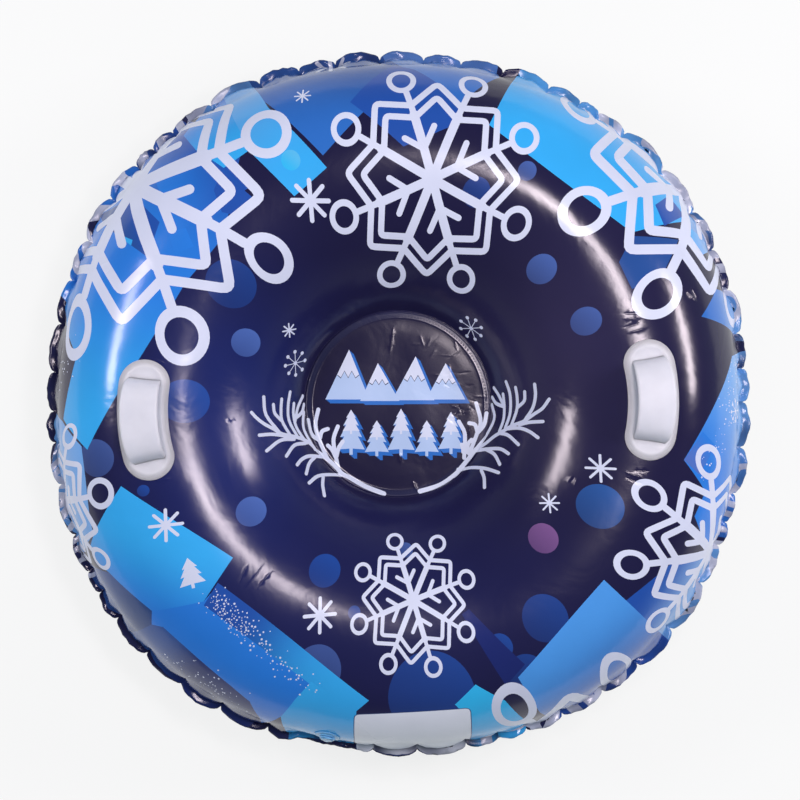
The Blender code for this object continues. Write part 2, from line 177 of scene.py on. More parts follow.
def smooth(share):
    share = np.clip(share, 0.0, 1.0)
    return share * share * (3 - 2 * share)


def held_by_valve(angle):
    """0 where the valve's flange holds the seam, 1 away from it."""
    aside = np.abs((angle - math.radians(VALVE_AZIMUTH) + math.pi) % math.tau - math.pi)
    return smooth((aside * WELD_R - VALVE_CALM) / VALVE_FADE)


def swell(turn, angle):
    """How far the film stands off its mean line at the weld: out in a lobe, in at a crease."""
    total = sum(s for _, s, _ in LOBE_DRIFT)
    width = 1 + sum(s * np.cos(w * math.tau * turn + p) for w, s, p in LOBE_DRIFT)
    bump = np.sin(math.pi * ((turn * LOBES) % 1.0)) ** LOBE_ROUNDNESS
    lobe = np.floor(turn * LOBES).astype(int) % LOBES
    fullness = np.random.default_rng(4).uniform(0.42, 0.86, LOBES)[lobe]
    return (-LOBE_IN + (LOBE_IN + LOBE_OUT * fullness * width / (1 + total)) * bump) * held_by_valve(angle)


def out_of_round(on_wall, angle):
    """How far the seam stands outside its circle, from nothing at the crown."""
    start = np.interp(SETTLE_R, RADIUS, ARC)
    amount = smooth((on_wall - start) / (WELD_ARC - start))
    return (SEAM_OUT - SEAM_SQUARE * np.cos(4 * angle)) * amount * held_by_valve(angle)


def fine_puckers(turn, depth):
    """Small creases between the big ones, different in each lobe."""
    lobe = np.floor(turn * LOBES).astype(int) % LOBES
    across = (turn * LOBES) % 1.0
    draw = np.random.default_rng(11)
    count = draw.integers(2, 5, LOBES)[lobe]
    phase = draw.uniform(0, math.tau, LOBES)[lobe]
    strength = draw.uniform(0.35, 1.0, LOBES)[lobe]
    ripple = np.abs(np.sin(math.pi * count * across + phase)) - 0.6
    return depth * strength * ripple * np.sin(math.pi * across) ** 0.5


# Relief of the top film, in metres off its smooth face. A crease group is its middle on the flat sheet, its
# direction in degrees, length, gap between creases, how many, half-width and height

CREASES = (
    ((0.3400, 0.1180), 4, 0.020, 0.0080, 4, 0.0010, 0.0004),
    ((0.3440, -0.1030), -12, 0.018, 0.0070, 3, 0.0009, -0.0004),
    ((0.2600, -0.1120), 62, 0.010, 0.0045, 3, 0.0007, 0.0002),
    ((-0.2505, -0.0240), -68, 0.006, 0.0035, 3, 0.0007, -0.0002),
    ((0.4180, 0.1540), -52, 0.014, 0.0050, 3, 0.0012, -0.0006),
    ((-0.2080, -0.2500), 236, 0.030, 0.0140, 3, 0.0007, -0.0003),
    ((-0.3468, 0.0600), 168, 0.016, 0.0070, 2, 0.0010, 0.0004),
    ((-0.3400, -0.1060), 200, 0.016, 0.0070, 2, 0.0010, -0.0004),
    ((-0.0085, 0.0820), 91, 0.026, 0.0080, 1, 0.0009, 0.0004),
    ((0.0030, -0.0740), 90, 0.012, 0.0060, 1, 0.0012, 0.0008),
    ((0.0210, -0.1060), -65, 0.014, 0.0060, 1, 0.0012, 0.0008),
)
# Lines of the floor's weld: how far inside its edge, half-width and share of the bead's height
WELD_LINES = ((0.0014, 0.0008, 0.35), (0.0092, 0.0008, 0.28), (0.0052, 0.0034, 0.30))
SLACK_HEIGHT = 0.0006
SLACK_FADE = 0.02
# How far up the wall from the outer weld the fine puckers run, and over how much of it the relief fades
PUCKER_RUN = 0.034
RELIEF_FADE = 0.05
# Small creases at the right of the seat's floor: how many, then the ranges of their azimuth in degrees, distance from
# the middle, half-length, half-width and height
FLOOR_CREASES = 34
FLOOR_CREASE_AZIMUTH = (-20, 75)
FLOOR_CREASE_RHO = (0.066, 0.110)
FLOOR_CREASE_REACH = (0.003, 0.009)
FLOOR_CREASE_HALF = (0.0007, 0.0013)
FLOOR_CREASE_RISE = (0.00006, 0.00022)


def crease_lines():
    """Creases of the film: two ends on the flat sheet, half-width and height. Minus is a dent."""
    draw = random.Random(5)
    lines = []
    for (x, y), direction, length, gap, count, half, rise in CREASES:
        way = math.radians(direction)
        for index in range(count):
            off = (index - (count - 1) / 2) * gap * draw.uniform(0.8, 1.2)
            slide = draw.uniform(-0.25, 0.25) * length
            reach = length / 2 * draw.uniform(0.7, 1.1)
            turn = way + draw.uniform(-0.22, 0.22)
            middle = (x - off * math.sin(way) + slide * math.cos(way), y + off * math.cos(way) + slide * math.sin(way))
            ends = [polar(middle, side * reach, turn) for side in (-1, 1)]
            lines.append((*ends, half * draw.uniform(0.8, 1.2), rise * (-1) ** index))
    for _ in range(FLOOR_CREASES):
        angle = math.radians(draw.uniform(*FLOOR_CREASE_AZIMUTH))
        middle = polar((0.0, 0.0), draw.uniform(*FLOOR_CREASE_RHO), angle)
        turn = angle + draw.gauss(0.0, 0.9)
        reach = draw.uniform(*FLOOR_CREASE_REACH)
        ends = [polar(middle, side * reach, turn) for side in (-1, 1)]
        half = draw.uniform(*FLOOR_CREASE_HALF)
        lines.append((*ends, half, draw.choice((-1, 1)) * draw.uniform(*FLOOR_CREASE_RISE)))
    return lines


def relief(x, y, film):
    """Bead of the floor's weld, slack of the floor and creases."""
    rho = np.hypot(x, y)
    bead = 0.0
    for back, half, tall in WELD_LINES:
        bead = bead + film.bead_height * tall * np.exp(-(((rho - FLOOR_R + back) / half) ** 2))
    waves = np.sin(41 * x + 17 * y + 1.0) * np.sin(23 * x - 47 * y + 0.4) + 0.5 * np.sin(90 * x + 2.0) * np.sin(71 * y)
    slack = SLACK_HEIGHT * (waves + 1.5) / 2 * smooth((FLOOR_R - FLOOR_BAND - rho) / SLACK_FADE)
    total = bead + slack
    for (ax, ay), (bx, by), half, rise in crease_lines():
        along = np.array((bx - ax, by - ay))
        length = np.hypot(*along)
        along /= length
        share = ((x - ax) * along[0] + (y - ay) * along[1]) / length
        off = (x - ax) * -along[1] + (y - ay) * along[0]
        window = smooth((share + 0.25) / 0.5) * smooth((1.25 - share) / 0.5)
        total = total + film.wrinkles * rise * window * np.exp(-((off / half) ** 2))
    return np.where(rho < FLOOR_R, np.maximum(total, 0.0), total)


# Wrapping the flat sheet onto the tube


def wrap(x, y, side, film):
    """Points of the tube's outer face for points of the flat sheet. side is 1 for the top film, -1 below."""
    rho = np.hypot(x, y)
    angle = np.arctan2(y, x)
    turn = turn_at(angle)
    arc = rho - FLOOR_R
    on_wall = np.clip(arc, 0.0, WELD_ARC)
    slope = np.interp(on_wall, ARC, SLOPE)
    thick = TOP_FILM if side > 0 else BOTTOM_FILM
    lift = swell(turn, angle) * smooth((on_wall - WELD_ARC + PLEAT_RUN) / PLEAT_RUN)
    lift += fine_puckers(turn, film.pucker_depth) * smooth((on_wall - WELD_ARC + PUCKER_RUN) / PUCKER_RUN)
    proud = lift + thick
    if side > 0:
        proud = proud + relief(x, y, film) * smooth((WELD_ARC - on_wall) / RELIEF_FADE)
    aside = out_of_round(on_wall, angle)
    radius = np.interp(on_wall, ARC, RADIUS) + proud * np.sin(slope) + aside
    height = np.interp(on_wall, ARC, HEIGHT) + proud * np.cos(slope)
    floor = arc < 0
    radius = np.where(floor, rho, radius)
    height = np.where(floor, thick + (relief(x, y, film) if side > 0 else 0.0), height)
    past = np.clip(arc - WELD_ARC, 0.0, FIN_W)
    fold = np.clip((rho - FIN_END) / EDGE_FOLD, 0.0, 1.0)
    on_fin = arc > WELD_ARC
    radius = np.where(on_fin, WELD_R + lift + past + aside, radius)
    height = np.where(on_fin, thick * (1 - fold), height)
    wave = film.fin_wave * np.sin(math.tau * (turn * LOBES) + 3 * np.sin(7 * angle)) * smooth(past / FIN_W)
    z = MID_Z + side * (height + FILM_GAP / 2 * (1 - fold)) + wave
    return np.stack((radius * np.cos(angle), radius * np.sin(angle), np.maximum(z, 0.0)), 1)


NORMAL_REACH = 0.0006
TINY = 1e-12


def outward(x, y, side, film):
    """Unit normals of the outer face, from its slope along and round the sheet."""
    rho = np.maximum(np.hypot(x, y), 1e-6)
    ux, uy = x / rho, y / rho
    ux, uy = ux * NORMAL_REACH, uy * NORMAL_REACH
    along = wrap(x + ux, y + uy, side, film) - wrap(x - ux, y - uy, side, film)
    around = wrap(x - uy, y + ux, side, film) - wrap(x + uy, y - ux, side, film)
    normal = np.cross(along, around) * side
    return normal / np.maximum(np.linalg.norm(normal, axis=1, keepdims=True), TINY)


def ring(radius, angles):
    """Places on a circle round the sheet's middle."""
    return list(zip(radius * np.cos(angles), radius * np.sin(angles)))


# The sheet's points: gaps in the floor and on the wall, rings inside the floor's weld, lanes along a crease in its
# half-widths, rows over the pleats, places across a lobe and along the margin
FLOOR_GAP = 0.0042
WALL_GAP = 0.0062
WELD_RINGS = (0.0004, 0.0009, 0.0014, 0.0020, 0.0027, 0.0084, 0.0092, 0.0100, 0.0110)
CREASE_LANES = (-1.6, -0.8, 0.0, 0.8, 1.6)
CREASE_GAP = 0.0024
PLEAT_ROWS = 14
ACROSS_LOBE = (0.0, 0.035, 0.09, 0.17, 0.27, 0.38, 0.5, 0.62, 0.73, 0.83, 0.91, 0.965)
ALONG_FIN = (0.12, 0.4, 0.7)


def sheet_grid():
    """Points that the sheet is divided at, closer in the floor and along the pleats, and its edge."""
    points = [(0.0, 0.0)]
    rho = 0.0045
    start = FLOOR_R + WELD_ARC - PLEAT_RUN - 0.002
    row = 0
    while rho < start:
        gap = FLOOR_GAP if rho < FLOOR_R + 0.004 else WALL_GAP
        count = max(8, round(math.tau * rho / gap))
        angles = (np.arange(count) + 0.5 * (row % 2)) * math.tau / count
        points += ring(rho, angles)
        rho += gap * 0.88
        row += 1
    for back in WELD_RINGS:
        points += ring(FLOOR_R - back, np.arange(360) * math.tau / 360)
    for a, b, half, _ in crease_lines():
        count = math.ceil(math.dist(a, b) * 1.4 / CREASE_GAP)
        way = math.atan2(b[1] - a[1], b[0] - a[0])
        for share in np.linspace(-0.2, 1.2, count):
            points += [polar(between(a, b, share), side * half, way + math.pi / 2) for side in CREASE_LANES]
    angles = lobe_angle(((np.arange(LOBES)[:, None] + np.array(ACROSS_LOBE)) / LOBES).ravel())
    rows = list(np.linspace(start, FLOOR_R + WELD_ARC, PLEAT_ROWS))
    rows += [FLOOR_R + WELD_ARC + FIN_W * share for share in ALONG_FIN] + [FIN_END]
    for rho in rows:
        points += ring(rho, angles)
    return points, ring(SHEET_R, angles)


# Outlines on the flat sheet


def dense(outline, longest=0.005):
    """The same closed outline with points close enough together to follow the film."""
    found = []
    for a, b in zip(outline, outline[1:] + outline[:1]):
        count = max(1, math.ceil(math.dist(a, b) / longest))
        found += [(a[0] + (b[0] - a[0]) * k / count, a[1] + (b[1] - a[1]) * k / count) for k in range(count)]
    return found


def disc(center, radius, sides=28):
    return [polar(center, radius, math.tau * k / sides) for k in range(sides)]


def stroke(points, width, end_width=None, round_ends=True):
    """The outline of a line of this width, mitred at its bends."""
    end_width = width if end_width is None else end_width
    count = len(points)
    sides = ([], [])
    for index, point in enumerate(points):
        before = points[max(index - 1, 0)]
        after = points[min(index + 1, count - 1)]
        if 0 < index < count - 1:
            d0 = Vector((point[0] - before[0], point[1] - before[1])).normalized()
            d1 = Vector((after[0] - point[0], after[1] - point[1])).normalized()
            along = (d0 + d1).normalized()
            stretch = min(1 / max(along.dot(d0), 0.3), 1.6)
        else:
            along = Vector((after[0] - before[0], after[1] - before[1])).normalized()
            stretch = 1.0
        half = (width + (end_width - width) * index / (count - 1)) / 2 * stretch
        sides[0].append((point[0] - along.y * half, point[1] + along.x * half))
        sides[1].append((point[0] + along.y * half, point[1] - along.x * half))
    if not round_ends:
        return sides[1] + sides[0][::-1]
    head = cap(points[-1], points[-2], end_width / 2)
    tail = cap(points[0], points[1], width / 2)
    return sides[1] + head + sides[0][::-1] + tail


def cap(end, before, radius, steps=5):
    """Points of a half circle round a line's end."""
    facing = math.atan2(end[1] - before[1], end[0] - before[0])
    return [polar(end, radius, facing - math.pi / 2 + math.pi * k / (steps + 1)) for k in range(1, steps + 1)]


def polar(center, length, angle):
    return (center[0] + length * math.cos(angle), center[1] + length * math.sin(angle))


def between(a, b, share):
    return (a[0] + (b[0] - a[0]) * share, a[1] + (b[1] - a[1]) * share)


PIN_EASE = 0.05


def pinned(pins):
    """A smooth way from a motif's own plane to the sheet that takes each pin to its place. A pin is
    an arm, which may be a half, how far along it, and the place on the sheet."""
    own = np.array([polar((0.0, 0.0), reach, arm * math.pi / 4) for arm, reach, _, _ in pins])
    sheet = np.array([(x / TENTHS, y / TENTHS) for _, _, x, y in pins])
    count = len(own)

    def pull(spots):
        square = ((spots[:, None] - own[None]) ** 2).sum(2)
        return square * np.log(square + TINY)

    flat_part = np.hstack((np.ones((count, 1)), own))
    system = np.block([[pull(own) + PIN_EASE * np.eye(count), flat_part], [flat_part.T, np.zeros((3, 3))]])
    weights = np.linalg.solve(system, np.vstack((sheet, np.zeros((3, 2)))))

    def place(outline):
        spots = np.array(outline)
        found = np.hstack((pull(spots), np.ones((len(spots), 1)), spots)) @ weights
        return [tuple(spot) for spot in found]

    return place


# How far out a place of the sheet looks from above. However steep the wall is, this share of its length counts
LEAST_SEEN = 0.78
SHEET_RHO = np.concatenate(([0.0], FLOOR_R + ARC, [FIN_END + 0.1]))
FROM_ABOVE = np.maximum(np.cos((SLOPE[1:] + SLOPE[:-1]) / 2), LEAST_SEEN) * np.diff(ARC)
FROM_ABOVE = np.concatenate(([0.0, FLOOR_R], FLOOR_R + np.cumsum(FROM_ABOVE)))
FROM_ABOVE = np.append(FROM_ABOVE, FROM_ABOVE[-1] + 0.1)


def rescaled(outline, known, wanted):
    """The outline with each place's distance from the middle looked up."""
    found = []
    for x, y in outline:
        reach = math.hypot(x, y)
        ratio = float(np.interp(reach, known, wanted)) / max(reach, 1e-9)
        found.append((x * ratio, y * ratio))
    return found


def stroke_from_above(line, width):
    """The outline on the sheet of a line that looks this wide from above."""
    seen = rescaled(line, SHEET_RHO, FROM_ABOVE)
    return rescaled(dense(stroke(seen, width)), FROM_ABOVE, SHEET_RHO)


# Strokes of a flake: how far along an arm each runs and its width, all as shares of the arm
ARM = ((0.0, 0.2, 0.4, 0.6), 0.080)
ARM_END = ((0.58, 0.72, 0.84), 0.056)
ANGLE_FEET = (0.565, 0.69)
ANGLE_WIDTH = 0.057
ANGLE_SHARPNESS = 0.86
FORK_ROOT = 0.27
FORK_LENGTH = 0.225
FORK_SPREAD = 46
FORK_WIDTH = 0.055
HOOP_R = 0.158
HOOP_HOLE_R = 0.098


def snowflake(pins):
    """Strokes and hoops of an eight-armed flake: forks on every other arm, two angles between arms."""
    place = pinned(pins)
    hub = (0.0, 0.0)
    size = math.dist(*place([polar(hub, 0.5, -math.pi / 8), polar(hub, 1.0, -math.pi / 8)])) * 2
    step = math.pi / 4
    rim = math.cos(step / 2) + math.sin(step / 2)
    lines, shapes = [], []
    for arm in range(8):
        angle = arm * step
        for reaches, width in (ARM, ARM_END):
            lines.append(([polar(hub, reach, angle) for reach in reaches], width))
        hoop = polar(hub, 1.0, angle)
        shapes.append((place(disc(hoop, HOOP_R, sides=36)), place(disc(hoop, HOOP_HOLE_R, sides=30))))
        for foot in ANGLE_FEET:
            tip = polar(hub, foot * rim, angle + step / 2)
            ends = [polar(hub, foot, angle), polar(hub, foot, angle + step)]
            shares = (0.0, 0.3, 0.5, 0.7, 1.0)
            bend = [bezier(ends[0], tip, ends[1], ANGLE_SHARPNESS, share) for share in shares]
            lines.append(([ends[0], *bend, ends[1]], ANGLE_WIDTH))
        if arm % 2:
            root = polar(hub, FORK_ROOT, angle)
            for side in (-1, 1):
                prong = polar(root, FORK_LENGTH, angle + side * math.radians(FORK_SPREAD))
                lines.append(([root, prong], FORK_WIDTH))
    shapes += [(stroke_from_above(place(line), width * size), None) for line, width in lines]
    return shapes


def bezier(a, tip, b, near, share):
    """A place on the rounded corner at tip. near is how close to it the rounding starts."""
    start = [a[k] + (tip[k] - a[k]) * near for k in (0, 1)]
    end = [b[k] + (tip[k] - b[k]) * near for k in (0, 1)]
    return tuple((1 - share) ** 2 * start[k] + 2 * share * (1 - share) * tip[k] + share**2 * end[k] for k in (0, 1))


def asterisk(center, radius, turn_deg, width_share):
    """Four strokes that cross in the middle."""
    shapes = []
    for arm in range(4):
        angle = math.radians(turn_deg) + arm * math.pi / 4
        ends = [polar(center, -radius, angle), polar(center, radius, angle)]
        shapes.append((stroke(ends, width_share * radius), None))
    return shapes


def dotted_star(center, radius, turn_deg):
    """Thin strokes with a dot in the middle and one on each tip."""
    shapes = asterisk(center, radius * 0.85, turn_deg, 0.07)
    shapes.append((disc(center, 0.15 * radius, sides=12), None))
    for arm in range(8):
        tip = polar(center, 0.86 * radius, math.radians(turn_deg) + arm * math.pi / 4)
        shapes.append((disc(tip, 0.14 * radius, sides=12), None))
    return shapes


STEM_WIDTHS = (0.0062, 0.0050)
NEEDLE_WIDTH = 0.0052


def sprig(stem, needles):
    """A pine sprig: a stem and its needles, each a smooth line with round ends."""
    shapes = [(stroke(curve(spots(stem), 2 * len(stem)), *STEM_WIDTHS), None)]
    for needle in needles:
        shapes.append((stroke(curve(spots(needle), 3 * len(needle) // 2), NEEDLE_WIDTH), None))
    return shapes


def curve(points, count):
    """Points on a smooth curve through the given ones."""
    known = np.array(points)
    known = np.vstack((2 * known[0] - known[1], known, 2 * known[-1] - known[-2]))
    found = []
    for share in np.linspace(0, len(points) - 1 - 1e-9, count):
        k = int(share)
        t = share - k
        a, b, c, d = known[k : k + 4]
        spot = 0.5 * (2 * b + (c - a) * t + (2 * a - 5 * b + 4 * c - d) * t * t + (3 * b - a - 3 * c + d) * t**3)
        found.append(tuple(spot))
    return found


def fir(center, width, height, lean_deg=0.0):
    """A small fir of three tiers on a trunk. Where it leans, it turns about its foot."""
    half = width / 2
    lean = Vector((math.cos(math.radians(lean_deg)), math.sin(math.radians(lean_deg))))
    outline = [(-0.12, 0), (0.12, 0), (0.12, 0.14), (1.0, 0.12), (0.50, 0.42)]
    outline += [(0.80, 0.40), (0.36, 0.68), (0.58, 0.66), (0, 1)]
    outline += [(-x, y) for x, y in outline[:1:-1][1:]]
    outline = [(x * half, y * height) for x, y in outline]
    return [(center[0] + x * lean.x - y * lean.y, center[1] + x * lean.y + y * lean.x) for x, y in outline]


SNOW_SHARE = 0.50
SCALLOPS = 3
SCALLOP_DEPTH = 0.06


def peak(foot, width, height, lean):
    """A mountain: its outline, and the snow on it with a scalloped lower edge."""
    top = (foot[0] + lean * width, foot[1] + height)
    left = (foot[0] - width / 2, foot[1])
    right = (foot[0] + width / 2, foot[1])
    body = [left, right, top]
    a, b = between(top, left, SNOW_SHARE), between(top, right, SNOW_SHARE)
    edge = []
    for index in range(1, 2 * SCALLOPS):
        x, y = between(a, b, index / (2 * SCALLOPS))
        drop = SCALLOP_DEPTH * height * (1 if index % 2 else -1.3)
        edge.append((x, y - drop))
    return body, [a, *edge, b, top]


# The print. The tables give places and lengths on the flat sheet in tenths of a millimetre, x and y in turn,
# with +X to the right handle

TENTHS = 10000
# How far along an arm a pin is, where 1 is the middle of its hoop: the hoop's near and far side, and between two
# arms the tips of the outer and the inner angle
NEAR = 0.842
FAR = 1.158
OUTER = 0.9015
INNER = 0.7382
# A flake's pins: an arm, which may be a half, how far along it, and the place on the sheet
FLAKES = (
    ((0, 0, 498, 3273), (0, 1, 1093, 4611), (2, 1, -735, 3905)),
    ((0, 0, 229, -2905), (0, 1, 594, -2102), (2, 1, -525, -2522)),
    (
        (0, 0, -3863, 3180), (0, 1, -1865, 3850), (-1, 1, -1919, 2163), (-2, 1, -3168, 984), (-3, 1, -4700, 1076),
        (-0.5, OUTER, -1938, 2986), (-0.5, INNER, -2354, 3030), (-1.5, OUTER, -2455, 1697),
        (-1.5, INNER, -2772, 2007), (-2.5, OUTER, -3899, 1163), (-2.5, INNER, -3914, 1588),
        (0.5, OUTER, -2476, 4438), (0.5, INNER, -2760, 4148), (-3.5, OUTER, -5139, 2144), (-3.5, INNER, -5017, 2391),
        (3, 1, -5700, 4600), (-4, 1, -5950, 2300),
    ),
    (
        (0, 0, 4463, 3351), (0, 1, 2760, 4491), (0, NEAR, 2960, 4252), (1, 1, 2643, 2758), (2, 1, 3674, 1568),
        (3, 1, 5261, 1548), (0.5, OUTER, 2752, 3553), (0.5, INNER, 3167, 3555), (1.5, OUTER, 3258, 2176),
        (1.5, INNER, 3558, 2469), (2.5, OUTER, 4524, 1603), (2.5, INNER, 4584, 2018), (4, 1, 6300, 2800),
        (6, 1, 5600, 5500),
    ),
    (
        (0, 0, 4721, -2234), (0, 1, 4435, -822), (1, 1, 3584, -1302), (2, 1, 3312, -2273), (3, 1, 3790, -3146),
        (0.5, OUTER, 4052, -1109), (0.5, INNER, 4183, -1349), (1.5, OUTER, 3503, -1815), (1.5, INNER, 3753, -1884),
        (2.5, OUTER, 3636, -2722), (2.5, INNER, 3867, -2581), (-0.5, OUTER, 5041, -1093), (-0.5, INNER, 4965, -1362),
        (-1, 1, 5600, -1200), (5, 1, 5900, -3400),
    ),
    (
        (0, 0, -5236, -1523), (0, 1, -4806, -435), (-1, 1, -4238, -1262), (-2, 1, -4341, -2257),
        (-0.5, OUTER, -4576, -884), (-0.5, INNER, -4759, -1032), (-1.5, OUTER, -4315, -1821),
        (-1.5, INNER, -4578, -1751), (-4, 1, -5900, -2500), (1, 1, -5900, -1000),
    ),
    (
        (0, FAR, 1417, -4063), (0, NEAR, 1988, -4825), (0.2, 1.012, 1459, -4634), (-0.2, 1.012, 1861, -4079),
        (-1, FAR, 3320, -3672), (-1, NEAR, 3263, -4400), (-0.8, 1.012, 2902, -3679), (-1.2, 1.012, 3659, -4327),
        (-0.5, OUTER, 2512, -4324), (0, 0, 2850, -6500),
    ),
)
# Stars: place, radius, turn in degrees and how wide its strokes are for its radius
STARS = (
    (-1369, 4423, 115, 0, 0.2),
    (-1273, 2967, 260, 2, 0.24),
    (-1627, 1104, 105, 8, 0.22),
    (-3310, -1726, 215, 4, 0.21),
    (-1134, -3069, 220, 2, 0.22),
    (2970, -940, 190, 0, 0.19),
    (2265, -1478, 135, 3, 0.19),
    (-1070, 5350, 300, 10, 0.2),
)
DOTTED_STARS = ((-1481, 589, 205, 8), (1038, 1075, 205, 12), (5075, -105, 175, 4))
# A sprig's stem and needles
LEFT_SPRIG = (
    (
        -186, -1186, -436, -1086, -642, -970, -740, -921, -806, -844, -938, -724, -1074, -628, -1211, -530, -1349,
        -486, -1504, -466, -1713, -439, -1854, -370, -2005, -298, -2125, -212, -2209, -125,
    ),
    (
        (-1566, -480, -1857, -451, -2088, -468), (-1492, -505, -1747, -540, -1976, -703),
        (-1294, -547, -1502, -598, -1655, -772), (-1756, -416, -1976, -161, -2014, 109),
        (-1719, -237, -1827, -135, -1851, -6), (-1550, -467, -1697, -255, -1716, -85, -1703, 72),
        (-1412, -480, -1566, -250, -1584, -36, -1547, 171), (-1261, -536, -1429, -338, -1481, -152, -1470, 6),
        (-1454, -245, -1395, -58, -1292, 106), (-1442, -198, -1310, -113, -1263, -6),
        (-1117, -611, -1276, -373, -1293, -236, -1266, -111), (-1036, -483, -1146, -395, -1190, -209),
        (-927, -735, -1036, -483, -1091, -274, -1053, -72), (-1031, -450, -1004, -362, -927, -329),
        (-828, -691, -872, -603, -927, -548), (-784, -877, -839, -603, -850, -450, -795, -296),
        (-1016, -703, -1248, -731, -1392, -800, -1481, -892), (-1142, -727, -1267, -849, -1341, -1020),
        (-729, -932, -965, -976, -1155, -1036, -1308, -1162), (-1053, -1006, -1086, -1169, -1080, -1347),
        (-812, -691, -784, -581, -729, -494),
    ),
)
RIGHT_SPRIG = (
    (
        291, -1153, 556, -1070, 754, -932, 841, -833, 940, -713, 1039, -592, 1184, -538, 1347, -450, 1500, -391, 1680,
        -315, 1868, -259, 2047, -149, 2179, -63, 2281, 75,
    ),
    (
        (1798, -307, 1967, -273, 2186, -262), (1560, -358, 1799, -356, 1969, -410, 2110, -505),
        (1439, -411, 1613, -459, 1796, -604), (1896, -235, 2020, -62, 2067, 124, 2055, 298),
        (1763, -49, 1880, 49, 1888, 185), (1650, -326, 1749, -85, 1756, 97, 1730, 243),
        (1544, -345, 1627, -132, 1627, 132, 1558, 321), (1436, -386, 1504, -224, 1514, -36, 1492, 140),
        (1481, 11, 1400, 126, 1312, 220), (1498, -35, 1346, 11, 1269, 89),
        (1028, -603, 1206, -388, 1319, -192, 1258, -11), (1050, -384, 1137, -274, 1170, -121),
        (940, -658, 1039, -406, 1093, -230, 1033, 11), (1050, -373, 1017, -274, 940, -252),
        (907, -636, 929, -526, 973, -472), (874, -713, 885, -494, 874, -362, 803, -230),
        (1039, -614, 1326, -630, 1495, -654, 1634, -733), (1217, -627, 1385, -724, 1498, -887),
        (797, -866, 1000, -868, 1253, -925, 1489, -1015), (1185, -941, 1252, -1069, 1277, -1232),
        (863, -636, 858, -581, 841, -537),
    ),
)
# Soft discs of light: middle, radius, colour, how much of it shows
GLOWS = (
    (-2452, 1770, 345, "royal", 0.55),
    (-2286, 926, 212, "violet", 0.95),
    (-3120, 44, 320, "royal", 0.85),
    (1840, 3321, 130, "violet", 0.75),
    (2126, 1999, 212, "violet", 0.8),
    (2770, 1222, 208, "violet", 0.7),
    (1140, 3080, 200, "royal", 0.6),
    (-2190, -1602, 216, "violet", 0.9),
    (-1093, -2484, 232, "royal", 0.8),
    (-1141, -3772, 335, "violet", 0.5),
    (-3621, -1230, 82, "royal", 0.8),
    (-4290, -767, 270, "violet", 0.55),
    (-640, -3057, 92, "royal", 0.75),
    (2937, -1483, 315, "mid", 0.6),
    (2150, -1983, 210, "rose", 0.85),
    (2103, -3057, 320, "royal", 0.6),
    (1459, -3462, 178, "royal", 0.75),
    (481, -4154, 620, "royal", 0.65),
    (109, -2198, 118, "violet", 0.6),
    (1820, -3820, 280, "royal", 0.6),
)
# A paler disc on a block: middle, radius, colours from low left to high right, and both ends' angles
HALO = (-1524, 3475, 135, "cyan", "halo")
HALO_WAY = (-2.2, 0.9)
